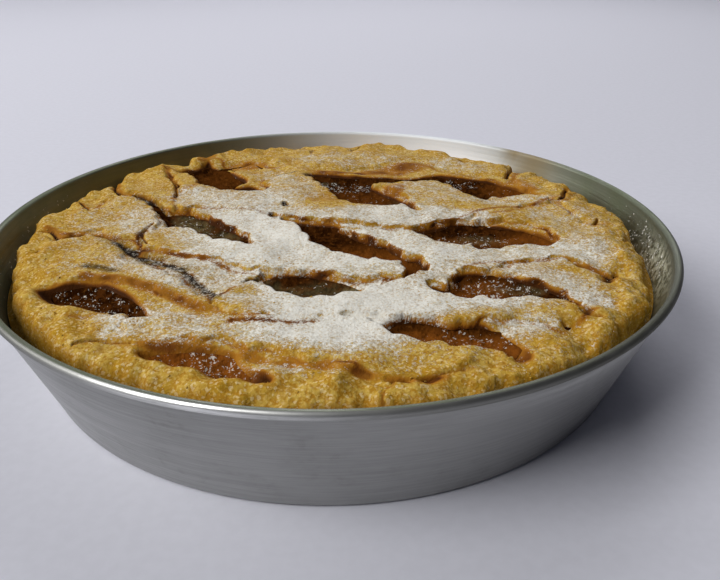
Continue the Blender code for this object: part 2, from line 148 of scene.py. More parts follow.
# Colours that are mixed into the settings' colours
GRIT = (0.44, 0.22, 0.018, 1)
SAND = (0.80, 0.56, 0.18, 1)
PALE_GRAIN = (0.88, 0.72, 0.40, 1)
DULL_SUGAR = (0.50, 0.44, 0.31, 1)
ASHEN_SUGAR = (0.50, 0.44, 0.35, 1)
BROWN_GRAIN = (0.11, 0.034, 0.006, 1)
AMBER_GRAIN = (0.28, 0.105, 0.02, 1)
# painted highlight on the rim's front
HIGHLIGHT_METAL = (0.92, 0.92, 0.89, 1)
# painted shade on the matt stretches of the rim
SHADED_MATT_METAL = (0.062, 0.060, 0.035, 1)
TURNED_LINE = (0.24, 0.24, 0.235, 1)
TURNED_BAND = (0.27, 0.27, 0.265, 1)
SMEARED_METAL = (0.24, 0.24, 0.22, 1)
# painted reflection of the key light on the inner back wall
REFLECTION_METAL = (0.93, 0.96, 0.98, 1)
OLD_DUST = (0.60, 0.60, 0.46, 1)
BAKED_STAIN = (0.27, 0.185, 0.06, 1)
ROOM_AIR = (0.80, 0.83, 1.0, 1)

# Paper sweep, and the camera's distance and aim in rim radii
SWEEP_FRONT, SWEEP_BACK, SWEEP_SIDE, SWEEP_BEND, SWEEP_TOP = -3.0, 2.6, 4.0, 0.8, 3.0
CAMERA_AWAY, AIM_RIGHT, AIM_BEHIND = 2.467, 0.08, 0.167
SENSOR = 36                 # millimetres

# Pieces of the lid in the order they are laid: height over the filling, breadth of the
# rounded side, then the outline, in millimetres
PLATES = (
    (3.4, 6.0, ((-78, 100), (-77, 88), (-68, 94), (-62, 86), (-54, 92), (-44, 90), (-37, 80),
        (-28, 82), (-20, 76), (-10, 73), (4, 72), (14, 77), (24, 80), (32, 86), (42, 87), (50, 78),
        (58, 70), (68, 66), (79, 60), (86, 55), (90, 64), (97, 80), (92, 104), (70, 124), (40, 138),
        (0, 142), (-40, 138), (-70, 118))),
    (3.1, 1.8, ((-122, -13), (-112, -18), (-106, -16), (-100, -14), (-92, -19), (-85, -24),
        (-80, -32), (-77, -40), (-68, -44), (-60, -51), (-52, -58), (-45, -66), (-38, -73),
        (-35, -80), (-42, -79), (-50, -73), (-58, -68), (-66, -64), (-74, -60), (-80, -58),
        (-88, -57), (-96, -58), (-104, -61), (-118, -63), (-132, -50), (-136, -25))),
    (3.4, 1.6, ((-135, 12), (-119, 13), (-113, 16), (-108, 28), (-103, 32), (-97, 31), (-88, 24),
        (-82, 16), (-77, 5), (-74, -4), (-75, -14), (-79, -21), (-84, -21), (-92, -17), (-100, -11),
        (-106, -14), (-112, -16), (-122, -10), (-136, -6))),
    (3.7, 1.8, ((-122, 72), (-113, 64), (-107, 45), (-103, 36), (-97, 33), (-88, 26), (-82, 20),
        (-76, 13), (-71, 14), (-73, 28), (-75, 40), (-80, 50), (-87, 62), (-92, 80), (-100, 92),
        (-112, 84))),
    (3.5, 1.8, ((-102, 92), (-92, 78), (-86, 72), (-79, 70), (-75, 66), (-71, 58), (-68, 50),
        (-66, 46), (-64, 38), (-72, 28), (-76, 28), (-78, 42), (-84, 58), (-92, 74), (-100, 86))),
    (3.1, 2.0, ((-88, -87), (-84, -83), (-78, -81), (-72, -80), (-65, -81), (-62, -86), (-65, -91),
        (-62, -98), (-70, -97), (-80, -95), (-87, -91))),
    (3.3, 1.7, ((-67, -85), (-61, -83), (-52, -81), (-40, -82), (-25, -82), (-10, -82), (5, -82),
        (15, -84), (20, -91), (25, -94), (30, -96), (38, -97), (43, -100), (50, -99), (55, -102),
        (59, -106), (52, -111), (42, -113), (35, -116), (28, -118), (20, -117), (10, -113),
        (3, -110), (-3, -111), (-10, -107), (-18, -103), (-24, -104), (-30, -98), (-38, -100),
        (-45, -99), (-55, -102), (-62, -100), (-66, -92))),
    (2.7, 1.6, ((58, -48), (66, -44), (78, -38), (90, -36), (100, -44), (108, -54), (116, -62),
        (112, -76), (98, -78), (90, -76), (85, -71), (82, -65), (77, -60), (70, -55), (63, -51))),
    (3.3, 1.6, ((-40, -76), (-37, -66), (-30, -58), (-24, -58), (-20, -62), (-14, -67), (-7, -69),
        (1, -68), (9, -65), (13, -61), (20, -58), (32, -52), (42, -52), (43, -58), (37, -59),
        (38, -64), (43, -66), (46, -69), (54, -66), (60, -69), (66, -67), (75, -68), (81, -70),
        (86, -73), (88, -79), (82, -83), (76, -88), (68, -84), (60, -84), (50, -86), (42, -88),
        (30, -84), (23, -85), (12, -83), (2, -85), (-12, -88), (-20, -85), (-30, -84))),
    (2.4, 1.4, ((-76, -31), (-68, -30), (-52, -36), (-36, -42), (-26, -46), (-24, -52), (-28, -58),
        (-34, -66), (-38, -70), (-44, -63), (-50, -55), (-58, -48), (-66, -40), (-73, -36))),
    (3.3, 1.5, ((0, -7), (8, -9), (20, -11), (30, -11), (38, -16), (42, -21), (50, -25), (57, -23),
        (59, -28), (64, -26), (72, -24), (80, -22), (88, -22), (92, -14), (86, -4), (74, 0),
        (60, 0), (62, 8), (80, 18), (98, 22), (106, 14), (112, 2), (122, 6), (138, 0), (134, -30),
        (118, -46), (106, -52), (98, -46), (93, -40), (88, -38), (83, -40), (75, -41), (68, -43),
        (61, -49), (53, -48), (50, -50), (46, -54), (43, -60), (37, -58), (30, -56), (32, -50),
        (36, -46), (33, -39), (27, -35), (24, -30), (19, -24), (12, -19), (5, -12))),
    (3.4, 1.5, ((-79, -14), (-73, -9), (-63, -9), (-57, -12), (-50, -18), (-44, -22), (-38, -25),
        (-33, -28), (-36, -17), (-42, -10), (-50, -4), (-56, 3), (-64, 9), (-64, 16), (-40, 14),
        (-26, 6), (-20, -2), (-15, -5), (-13, -12), (-10, -17), (-8, -22), (-6, -26), (0, -30),
        (1, -34), (6, -35), (10, -39), (17, -39), (20, -41), (27, -41), (29, -48), (28, -56),
        (22, -56), (10, -57), (0, -54), (-12, -52), (-24, -50), (-30, -50), (-37, -46), (-45, -42),
        (-52, -40), (-60, -36), (-66, -33), (-75, -30), (-79, -22))),
    (3.7, 1.5, ((-72, 14), (-68, 12), (-62, 14), (-55, 12), (-48, 12), (-42, 10), (-35, 8),
        (-28, 4), (-18, 1), (-8, -1), (0, -3), (12, -6), (22, -8), (33, -9), (42, -5), (50, -1),
        (60, 3), (66, 6), (75, 8), (82, 14), (88, 20), (96, 19), (101, 27), (97, 31), (88, 36),
        (82, 33), (74, 34), (70, 31), (66, 31), (60, 40), (56, 50), (46, 56), (38, 54), (30, 52),
        (20, 51), (16, 47), (22, 42), (28, 34), (32, 28), (33, 20), (37, 12), (30, 17), (24, 16),
        (17, 19), (10, 20), (4, 26), (0, 32), (-3, 40), (-9, 50), (-14, 60), (-25, 63), (-35, 60),
        (-39, 52), (-34, 42), (-40, 36), (-48, 38), (-54, 40), (-60, 43), (-66, 46), (-72, 40),
        (-76, 26))),
    (3.4, 2.4, ((98, 80), (91, 66), (88, 56), (91, 47), (96, 38), (100, 30), (105, 25), (109, 30),
        (114, 41), (128, 50), (122, 68), (108, 82))),
    (3.5, 2.4, ((102, 24), (106, 28), (112, 36), (120, 44), (136, 26), (134, 6), (120, 4),
        (113, -2), (109, 4), (105, 12))),
)
# Openings between them: outlines in millimetres
GAPS = (
    ((-82, 76), (-76, 82), (-72, 90), (-68, 84), (-62, 80), (-57, 76), (-52, 66), (-46, 58),
     (-46, 52), (-50, 47), (-42, 48), (-36, 42), (-34, 37), (-40, 33), (-48, 35), (-56, 37),
     (-64, 42), (-70, 50), (-76, 62), (-84, 70)),
    ((-16, 68), (-8, 70), (6, 66), (14, 66), (24, 66), (34, 66), (42, 68), (50, 70), (58, 67),
     (66, 64), (76, 61), (84, 56), (92, 50), (97, 42), (98, 34), (90, 32), (80, 30), (70, 28),
     (62, 32), (58, 38), (52, 48), (44, 50), (30, 48), (20, 46), (24, 38), (30, 30), (36, 20),
     (40, 11), (30, 13), (18, 15), (8, 18), (0, 26), (-5, 36), (-10, 48), (-16, 58)),
    ((30, -9), (38, -6), (46, -3), (52, 1), (62, 1), (72, -2), (82, -5), (90, -11), (94, -20),
     (88, -26), (76, -27), (64, -30), (54, -27), (42, -24), (36, -17), (30, -13)),
    ((-27, 3), (-18, 1), (-8, -1), (2, -4), (6, -11), (14, -18), (22, -23), (28, -31), (36, -39),
     (39, -44), (36, -50), (31, -56), (27, -57), (24, -44), (12, -41), (0, -36), (-8, -28),
     (-13, -18), (-17, -8), (-24, -2)),
    ((-80, 16), (-74, 10), (-62, 10), (-54, 4), (-48, -3), (-40, -9), (-34, -16), (-29, -28),
     (-36, -30), (-46, -26), (-58, -17), (-68, -12), (-72, -4), (-77, 6)),
    ((-24, -53), (-14, -50), (-4, -52), (4, -56), (12, -62), (10, -66), (0, -69), (-8, -70),
     (-16, -67), (-22, -60)),
    ((35, -59), (43, -58), (45, -52), (50, -48), (58, -48), (66, -51), (74, -55), (80, -60),
     (85, -66), (88, -73), (82, -74), (74, -71), (62, -71), (52, -70), (42, -70), (38, -66)),
    ((17, -91), (22, -84), (30, -82), (40, -85), (50, -85), (57, -90), (63, -98), (64, -105),
     (58, -107), (50, -102), (40, -101), (30, -98), (22, -95)),
    ((-104, -62), (-98, -58), (-88, -56), (-80, -58), (-73, -63), (-66, -69), (-61, -76),
     (-58, -83), (-64, -83), (-72, -80), (-80, -78), (-88, -76), (-95, -73), (-101, -68)),
    ((-57, -103), (-48, -100), (-36, -100), (-27, -102), (-23, -108), (-18, -113), (-13, -118),
     (-15, -121), (-24, -119), (-36, -114), (-48, -110), (-55, -107)),
)
# Soft hollows in the lid: x, y, half length, half breadth, turn in degrees, depth, with lengths in
# millimetres
HOLLOWS = (
    (2, -60, 30, 7, -6, 1.0), (-60, -78, 14, 7, -15, 0.6), (64, -92, 12, 8, -10, 0.6),
    (-110, 26, 7, 12, 0, 0.9), (-36, 74, 14, 9, 0, 0.6), (24, 74, 26, 10, -4, 0.9),
    (-52, 84, 16, 9, 0, 0.9), (-20, -106, 4.2, 2.0, -15, 0.5), (-10, -109, 4.4, 2.0, -20, 0.5),
    (1, -112.5, 4.4, 2.0, -20, 0.6), (12, -115.5, 4.4, 2.0, -15, 0.9),
    (22, -118, 4.2, 2.0, -10, 1.1), (32, -116.5, 4.4, 1.9, 15, 0.9),
)
# Soft grooves at the foot of an overlapping piece: half width, depth, then points, in millimetres
GROOVES = (
    (3.4, 0.8, ((-22, -109), (-10, -113), (0, -116), (10, -119), (20, -122), (28, -123), (36, -120),
        (44, -117))),
    (3.0, 0.9, ((-122, -14), (-112, -20), (-104, -18), (-96, -19), (-88, -25), (-82, -28))),
    (3.0, 0.9, ((-112, 58), (-109, 44), (-104, 33), (-97, 29), (-88, 21), (-82, 13))),
    (2.5, 0.6, ((-26, -88), (-12, -92), (2, -89), (14, -87))),
    (2.5, 0.5, ((44, -91), (52, -89), (58, -88))),
    (2.8, 0.9, ((54, -53), (63, -49), (74, -45), (86, -44), (92, -45), (98, -51), (104, -58))),
    (3.0, 1.3, ((-72, 10), (-56, 9), (-42, 7), (-30, 1))),
    (3.0, 1.1, ((50, -5), (62, 0), (72, 3), (82, 10), (90, 16), (99, 16))),
    (2.4, 1.0, ((-2, -7), (10, -11), (24, -13), (36, -13))),
    (2.8, 0.9, ((-76, -34), (-62, -38), (-50, -43), (-38, -49), (-24, -53))),
    (2.4, 0.7, ((-88, 60), (-80, 48), (-77, 36), (-77, 26))),
)
# Lobes and notches in the edge's outline: bearing in degrees, how far out in millimetres, width in
# degrees
EDGE_LOBES = (
    (178, 3.5, 5), (165, 3.5, 4), (148, 5, 5), (137.5, 3, 3), (121, 3, 5), (100, 4, 3), (81, 3, 4),
    (70, 3, 4), (45, 2, 4), (-30, 3, 8), (7, 3, 7), (195, 2, 6), (212, 2, 5), (232, 1.5, 6),
    (262, 2, 6), (285, 1.5, 5), (306, 2, 5), (134.3, -7.5, 2), (143, -3, 1.5), (171, -3, 2),
    (112, -4, 2), (104, -4, 2.5), (94, -4, 3), (86.5, -4, 2.5), (57, -4, 4), (39, -7, 2),
    (14, -3, 1.5), (204, 0.5, 14), (240, 2.0, 20), (285, 2.0, 22), (325, 1.0, 12),
)
# Waves of the edge's outline: how many go round, how far out in millimetres, phase in radians
EDGE_WAVES = ((23, 0.6, 1.0), (37, 0.4, 4.0))
CRUMBLY_WAVES = ((58, 0.35, 2.0), (83, 0.3, 0.5), (131, 0.2, 3.0))

# Cracks in the pastry: half width and depth, then points, in millimetres
CRACKS = (
    (1.0, 2.6, ((-95, 33), (-86, 26), (-79, 14), (-73, 2), (-69, -6))),
    (1.8, 2.2, ((-84, 22), (-79, 13), (-74, 4))),
    (0.6, 1.2, ((-78, -4), (-79, -12), (-78, -19), (-74, -26))),
    (0.7, 1.6, ((-86, 58), (-80, 46), (-77, 36), (-76, 29))),
    (0.9, 2.0, ((-116, 66), (-110, 46), (-106, 38), (-99, 33))),
    (0.8, 1.6, ((-119, 24), (-114, 17), (-110, 12))),
    (0.8, 1.8, ((-126, -10), (-118, -12), (-112, -18), (-105, -14), (-97, -15), (-90, -20))),
    (0.9, 2.4, ((94, 84), (90, 74), (86, 62))),
    (0.9, 1.8, ((112, 44), (108, 34), (103, 28), (96, 30))),
    (0.7, 1.4, ((116, 6), (112, -1), (108, 3))),
    (0.6, 1.2, ((124, -12), (120, -18))),
    (0.9, 2.0, ((92, -40), (98, -46), (105, -50), (108, -46))),
    (0.8, 1.6, ((-76, -101), (-70, -98), (-60, -99))),
    (0.6, 0.8, ((14, -120), (20, -122), (22, -118), (30, -116), (42, -112))),
    (0.6, 1.0, ((18, -124), (17, -129))),
    (0.6, 1.2, ((84, -72), (88, -79), (92, -80))),
    (0.6, 0.9, ((-22, 121), (-15, 112), (-17, 104), (-10, 98))),
    (0.5, 0.8, ((12, 118), (6, 110), (9, 102))),
    (0.7, 1.4, ((-66, 78), (-62, 84), (-48, 88), (-42, 82))),
)
# Small holes: x, y, radius, depth, in millimetres
PITS = (
    (-23, 18, 1.3, 2.2), (-27, 4, 1.6, 2.4), (-28, -56, 1.5, 2.2), (-72, 84, 3.0, 3.0),
    (-65, 113, 2.0, 2.6), (67, 93, 1.6, 1.8), (95, -43, 1.6, 2.0), (103, -52, 2.2, 2.4),
    (-115, -33, 1.2, 1.8), (48, -49, 1.0, 1.6), (88, -77, 2.2, 1.8), (20, -26, 1.0, 1.2),
    (121, -7, 0.9, 1.6), (79, -84, 1.2, 1.4), (-110, 30, 1.0, 1.2), (55, 112, 1.2, 1.2),
    (-38, 116, 1.0, 1.0),
)
# Burnt or ash-grey streaks: half width in millimetres, strength, then points in millimetres
BURNS = (
    (1.3, 0.9, ((-97, 33), (-92, 30), (-87, 25))),
    (2.3, 1.0, ((-86, 24), (-82, 18), (-78, 11), (-74, 4), (-71, -4))),
    (1.3, 0.5, ((-78, -10), (-80, -17), (-77, -24))),
    (3.0, 1.0, ((-86, -26), (-80, -31), (-75, -36), (-69, -41))),
    (5.5, 0.3, ((-90, -22), (-78, -33), (-64, -43), (-52, -53))),
    (2.2, 0.9, ((-71, -40), (-62, -45), (-55, -51), (-49, -58), (-42, -67), (-38, -72))),
    (1.5, 0.45, ((-94, -17), (-88, -22), (-82, -28))),
    (2.2, 0.6, ((-92, -46), (-86, -48), (-80, -50))),
    (2.8, 0.75, ((-16, 66), (-6, 60), (4, 56), (12, 54))),
    (1.6, 0.7, ((-32, 68), (-24, 70))),
    (1.2, 0.9, ((-24, 20), (-22, 16))),
    (1.3, 0.9, ((-28, 6), (-26, 1))),
    (1.3, 0.9, ((-31, -57), (-26, -55))),
)
# Well baked lines along overlaps, in the same way
BAKED_EDGES = (
    (1.3, 0.7, ((38, -4), (50, 0), (60, 7), (72, 13), (84, 18), (92, 21), (98, 25))),
    (1.2, 0.5, ((-62, 14), (-48, 12), (-34, 8), (-24, 4))),
    (1.9, 0.8, ((-75, -31), (-64, -34), (-54, -38), (-44, -43), (-38, -47))),
    (1.3, 0.6, ((-38, -48), (-24, -53), (-8, -54), (10, -57), (24, -57))),
    (1.7, 0.9, ((-30, -87.5), (-22, -88), (-12, -88.5), (-3, -87))),
    (1.2, 0.6, ((50, -46), (64, -42), (78, -40), (90, -38), (98, -44), (104, -50))),
    (2.6, 0.6, ((-90, -54), (-76, -57), (-62, -64), (-52, -71), (-42, -78))),
    (2.6, 0.7, ((-56, -100), (-44, -101), (-34, -102))),
    (2.0, 0.45, ((-34, -102), (-22, -106), (-10, -110), (0, -113), (14, -116), (26, -118),
        (36, -116))),
    (1.8, 0.5, ((-122, -8), (-112, -14), (-104, -13), (-96, -15), (-88, -20))),
    (1.6, 0.5, ((-112, 60), (-108, 45), (-104, 36))),
    (1.6, 0.45, ((100, 30), (108, 36), (113, 46))),
    (1.6, 0.5, ((-120, 26), (-114, 18), (-106, 16))),
)
# Well baked slopes, soft ovals: x, y, half length, half breadth, turn in degrees, strength
BAKED_PATCHES = (
    (30, 78, 22, 8, 20, 0.6), (2, 71, 18, 4, 0, 0.6), (-50, 86, 12, 6, 0, 0.55),
    (-74, 96, 6, 10, 0, 0.4), (92, 50, 6, 14, 20, 0.45), (18, -31, 15, 5, -52, 0.7),
    # spots from (-20, -106) to (32, -116.5) lie under the front strip's scallops: browning with
    # painted shade
    (25, 34, 7, 14, -25, 0.65), (82, -18, 10, 6, -20, 0.6), (-20, -106, 4.0, 1.9, -15, 0.5),
    (-10, -109, 4.0, 1.9, -20, 0.5), (1, -112.5, 4.0, 2.0, -20, 0.65),
    (12, -115.5, 4.2, 2.1, -15, 0.9), (22, -118, 4.2, 2.1, -10, 1.0),
    (32, -116.5, 4.2, 1.9, 15, 0.85), (-6, 25, 12, 8, -30, 0.25), (78, -64, 10, 4, -30, 0.5),
    (56, -98, 8, 6, -40, 0.5), (34, 64, 12, 4, 0, 0.5),
)
# Icing sugar, in the same way: the last number is the amount
SUGAR = (
    (4, 92, 40, 15, 0, 0.42), (64, 84, 24, 12, -25, 0.48), (-36, 66, 16, 12, 0, 0.4),
    (-52, 28, 34, 16, -8, 0.66), (-22, 36, 18, 32, 10, 0.5), (34, 4, 42, 15, -6, 0.88),
    (38, 36, 28, 22, 0, 0.45), (82, 28, 26, 10, 10, 0.5), (-20, -22, 62, 34, -30, 0.95),
    (24, -28, 40, 22, -40, 0.85), (76, -32, 48, 14, 3, 0.76), (104, -2, 28, 34, 0, 0.42),
    (76, -56, 28, 12, -20, 0.66), (24, -68, 62, 16, 0, 0.93), (-40, -54, 34, 18, -35, 0.7),
    (4, -90, 34, 16, 0, 0.97), (10, -77, 34, 11, 0, 0.95), (-52, -90, 40, 12, -4, 0.55),
    (26, -104, 44, 12, -10, 0.36), (-76, -88, 18, 8, 0, 0.4), (70, -92, 28, 12, 5, 0.42),
    (92, -69, 10, 8, 20, 0.9), (64, -86, 14, 6, 10, 0.62), (-98, -34, 34, 24, -20, 0.3),
    (-66, -50, 24, 9, -38, 0.55), (-102, 10, 24, 28, 0, 0.34), (-82, -2, 13, 18, 0, 0.5),
    (-60, -77, 18, 7, -15, 0.45), (-8, -115, 22, 6, -10, 0.5), (-12, -115, 13, 3.5, -12, 0.85),
    (110, -50, 18, 18, 0, 0.35), (-92, 52, 24, 20, 0, 0.08),
)
# Bare golden patches within the sugar, in the same way
BARE = (
    (-3, 19, 13, 9, 0, 0.75), (-30, -66, 7, 5, 0, 0.6), (20, 40, 8, 9, 0, 0.4),
    (38, -105, 18, 5, -8, 0.4), (-92, 66, 20, 14, 0, 0.6), (10, 72, 30, 6, 0, 0.4),
)
# Sugar that has settled on the filling and gone grey-green with damp
DAMP_SUGAR = (
    (-62, 2, 12, 6, -38, 0.8), (-46, -12, 9, 5, -38, 0.6), (-42, 44, 9, 6, 0, 0.7),
    (-8, 60, 8, 4, 10, 0.3), (12, -62, 8, 4, -10, 0.9), (-22, -56, 6, 4, -20, 0.5),
    (62, -12, 12, 5, 0, 0.4), (50, -20, 8, 4, 0, 0.35), (-6, -60, 14, 6, 0, 0.4),
    (68, -58, 12, 3, -10, 0.4), (30, 26, 8, 4, -40, 0.2),
)
# Overlaps that the sugar has filled in
SNOWED_OVER = (
    (22, -84, 22, 6, -3, 0.95), (-14, -30, 30, 8, -30, 0.6), (60, 3, 14, 6, 10, 0.6),
    (-66, -91, 7, 9, 0, 0.9), (-15, -50, 11, 3.5, -5, 0.75), (94, -68, 9, 4.5, -35, 0.85),
    (65, -49.5, 13, 3.2, -14, 0.65),
)
# Sugar that lies on the filling in specks
SPECKS = (
    (-84, -68, 22, 10, -20, 0.24), (-34, -108, 20, 8, -18, 0.34), (4, 54, 20, 9, 0, 0.34),
    (12, 34, 14, 8, -30, 0.15), (84, 50, 10, 12, 0, 0.15), (48, -94, 20, 8, 0, 0.25),
    (60, -12, 20, 8, 0, 0.25), (60, -56, 20, 8, 0, 0.3), (0, -60, 16, 8, 0, 0.12),
    (58, 60, 16, 5, -12, 0.35),
)
# Painted light: filling painted caramel brown where light gets into it, dark as in shade elsewhere
LIT_FILLING = (
    (-92, -74, 17, 6, -20, 0.85), (-38, -107, 26, 11, -16, 1.0), (85, 48, 14, 10, -20, 0.6),
    (20, -36, 22, 9, -45, 0.75), (80, -14, 14, 8, -10, 0.8), (54, -58, 14, 8, 0, 0.7),
    (45, -95, 24, 8, -15, 0.95), (60, -16, 26, 6, -8, 0.35), (-62, 66, 14, 16, -10, 0.25),
    (12, 36, 18, 10, -40, 0.35),
)


# --- Settings ---


class PastrySettings(bpy.types.PropertyGroup):
    cells: bpy.props.IntProperty(
        name="Cells across", description="Fineness of the pastry's top", default=236)
    steep: bpy.props.FloatProperty(
        name="Steep", description="Slope from which the pastry's cells are halved", default=0.42)
    side_share: bpy.props.FloatProperty(
        name="Side", description="How much wider the pieces' rounded sides are than listed",
        default=1.5)
    scallop_pitch: bpy.props.FloatProperty(
        name="Wave length", description="Length of one wave that the pastry wheel cut",
        default=0.0095, unit="LENGTH")
    scallop_depth: bpy.props.FloatProperty(
        name="Wave depth", description="Depth of the waves along a cut edge",
        default=0.0014, unit="LENGTH")
    golden: bpy.props.FloatVectorProperty(
        name="Golden", description="Pastry's main colour", subtype="COLOR", size=4,
        default=(0.49, 0.27, 0.018, 1.0), min=0, max=1)
    pale: bpy.props.FloatVectorProperty(
        name="Pale", description="Less baked pastry", subtype="COLOR", size=4,
        default=(0.61, 0.40, 0.075, 1.0), min=0, max=1)
    toasted: bpy.props.FloatVectorProperty(
        name="Toasted", description="Well baked slopes and edges", subtype="COLOR", size=4,
        default=(0.40, 0.165, 0.014, 1.0), min=0, max=1)
    # colour of the gaps' sides: browning with painted shade
    brown_and_shade: bpy.props.FloatVectorProperty(
        name="Brown", description="Sides of the gaps", subtype="COLOR", size=4,
        default=(0.17, 0.052, 0.006, 1.0), min=0, max=1)
    # dark: painted shade on the lowest slopes into the gaps and in cracks
    dark: bpy.props.FloatVectorProperty(
        name="Dark", description="Slopes soaked with syrup, down to the filling",
        subtype="COLOR", size=4, default=(0.060, 0.018, 0.003, 1.0), min=0, max=1)
    # burnt: burns, and painted shade in cracks and holes
    burnt_and_crack_shade: bpy.props.FloatVectorProperty(
        name="Burnt", description="Cracks and burnt streaks", subtype="COLOR", size=4,
        default=(0.020, 0.011, 0.006, 1.0), min=0, max=1)


class FillingSettings(bpy.types.PropertyGroup):
    cells: bpy.props.IntProperty(
        name="Cells across", description="Fineness of its top", default=200)
    dark: bpy.props.FloatVectorProperty(
        name="Dark", description="Filling in shade", subtype="COLOR", size=4,
        default=(0.024, 0.0068, 0.0012, 1.0), min=0, max=1)
    caramel: bpy.props.FloatVectorProperty(
        name="Caramel", description="Filling that light gets into", subtype="COLOR", size=4,
        default=(0.23, 0.070, 0.009, 1.0), min=0, max=1)
    damp: bpy.props.FloatVectorProperty(
        name="Damp sugar", description="Icing sugar that has gone damp", subtype="COLOR", size=4,
        default=(0.20, 0.17, 0.075, 1.0), min=0, max=1)


class SugarSettings(bpy.types.PropertyGroup):
    white: bpy.props.FloatVectorProperty(
        name="Sugar", description="Icing sugar's colour", subtype="COLOR", size=4,
        default=(0.92, 0.90, 0.82, 1.0), min=0, max=1)
    grain: bpy.props.FloatProperty(
        name="Grain", description="Size of one clump of sugar", default=0.00036, unit="LENGTH")
    on_pastry: bpy.props.IntProperty(
        name="On the pastry", description="Clumps for each square metre", default=500000)
    on_filling: bpy.props.IntProperty(
        name="On the filling", description="Clumps for each square metre", default=90000)
    seed: bpy.props.IntProperty(
        name="Seed", description="Start of the random draws", default=7)


class CrumbSettings(bpy.types.PropertyGroup):
    size: bpy.props.FloatProperty(
        name="Crumb", description="Size of one crumb", default=0.0009, unit="LENGTH")
    density: bpy.props.IntProperty(
        name="Density", description="Crumbs for each square metre", default=9000)
    seed: bpy.props.IntProperty(
        name="Seed", description="Start of the random draws", default=3)


class TinSettings(bpy.types.PropertyGroup):
    sheet: bpy.props.FloatProperty(
        name="Sheet", description="Thickness of the metal", default=0.0012, unit="LENGTH")
    bead: bpy.props.FloatProperty(
        name="Bead radius", description="Radius of the rolled rim", default=0.0016, unit="LENGTH")
    sides: bpy.props.IntProperty(name="Sides", description="Steps round the tin", default=256)
    metal: bpy.props.FloatVectorProperty(
        name="Metal", description="Worn aluminium", subtype="COLOR", size=4,
        default=(0.40, 0.40, 0.385, 1.0), min=0, max=1)
    film: bpy.props.FloatVectorProperty(
        name="Film", description="Baked-on film inside the tin", subtype="COLOR", size=4,
        default=(0.20, 0.225, 0.15, 1.0), min=0, max=1)


class StageSettings(bpy.types.PropertyGroup):
    floor: bpy.props.FloatVectorProperty(
        name="Floor", description="Paper that the tin stands on", subtype="COLOR", size=4,
        default=(0.755, 0.755, 0.83, 1.0), min=0, max=1)
    pitch: bpy.props.FloatProperty(
        name="Pitch", description="How steeply the camera looks down", subtype="ANGLE",
        default=math.radians(27.3))
    roll: bpy.props.FloatProperty(
        name="Roll", description="Camera's tilt", subtype="ANGLE", default=math.radians(0.25))
    focal: bpy.props.FloatProperty(
        name="Focal length", description="Camera's lens, in millimetres", default=35.0)
    key: bpy.props.FloatProperty(
        name="Key light", description="Power of the light in front", default=65.0)
    back: bpy.props.FloatProperty(
        name="Back light", description="Power of the light behind", default=13.3)
    side: bpy.props.FloatProperty(
        name="Side light", description="Power of the low light", default=21.0)
    room: bpy.props.FloatProperty(
        name="Room light", description="Brightness of the room", default=0.05)


SETTINGS = {"pastry": PastrySettings, "filling": FillingSettings, "sugar": SugarSettings,
            "crumb": CrumbSettings, "tin": TinSettings, "stage": StageSettings}


def settings(name):
    return getattr(bpy.context.scene, "pastiera_" + name)


# --- Curves and patterns ---


def smooth_step(value, low, high):
    """0 up to low, 1 from high on, and an even change between."""
    t = np.clip((value - low) / (high - low), 0, 1)
    return t * t * (3 - 2 * t)


def stretch(before, start, end, after):
    """Points from start up to end on a smooth curve through all four."""
    t = (np.arange(CURVE_STEPS) / CURVE_STEPS)[:, None]
    return 0.5 * (2 * start + (end - before) * t
                  + (2 * before - 5 * start + 4 * end - after) * t ** 2
                  + (3 * start - before - 3 * end + after) * t ** 3)


def curve_through(points):
    """Smooth run through way-points, each with as many columns as a way-point."""
    points = np.array(points, dtype=float)
    ends = np.vstack([2 * points[0] - points[1], points, 2 * points[-1] - points[-2]])
    return np.vstack([stretch(*ends[k:k + 4]) for k in range(len(points) - 1)] + [points[-1:]])


def closed_through(points):
    """Smooth closed outline in metres, through points in millimetres."""
    points = MM * np.array(points, dtype=float)
    ring = np.vstack([points[-1:], points, points[:2]])
    return np.vstack([stretch(*ring[k:k + 4]) for k in range(len(points))])


def in_box(x, y, points, margin):
    """Which places lie in the box round some points, widened by a margin."""
    low, high = points[:, :2].min(axis=0) - margin, points[:, :2].max(axis=0) + margin
    return (x > low[0]) & (x < high[0]) & (y > low[1]) & (y < high[1])


def nearest_on(x, y, x0, y0, x1, y1):
    """How far along a straight line it is nearest to each place, how far away, and its length."""
    dx, dy = x1 - x0, y1 - y0
    length = math.hypot(dx, dy)
    t = np.clip(((x - x0) * dx + (y - y0) * dy) / length ** 2, 0, 1)
    return t, np.hypot(x - x0 - t * dx, y - y0 - t * dy), length


def inside_outline(x, y, outline, pitch, depth):
    """How far each place lies inside a closed, waved outline; negative outside."""
    distance = np.full(x.shape, 1.0)
    wave = np.zeros(x.shape)
    within = np.zeros(x.shape, bool)
    travelled = 0.0
    for (x0, y0), (x1, y1) in zip(outline, np.roll(outline, -1, axis=0)):
        t, away, length = nearest_on(x, y, x0, y0, x1, y1)
        nearer = away < distance
        distance = np.where(nearer, away, distance)
        half_wave = np.abs(np.sin(math.pi * (travelled + t * length) / pitch))
        wave = np.where(nearer, half_wave, wave)
        if y1 != y0:
            within ^= ((y0 > y) != (y1 > y)) & (x < x0 + (y - y0) * (x1 - x0) / (y1 - y0))
        travelled += length
    return np.where(within, distance, -distance) + depth * (wave - SCALLOP_MIDDLE)


def inside_run(x, y, run):
    """How far each place lies inside a run, whose third column is its half width."""
    inside = np.full(x.shape, -1.0)
    for (x0, y0, half0), (x1, y1, half1) in zip(run, run[1:]):
        t, away, _ = nearest_on(x, y, x0, y0, x1, y1)
        inside = np.maximum(inside, half0 + (half1 - half0) * t - away)
    return inside


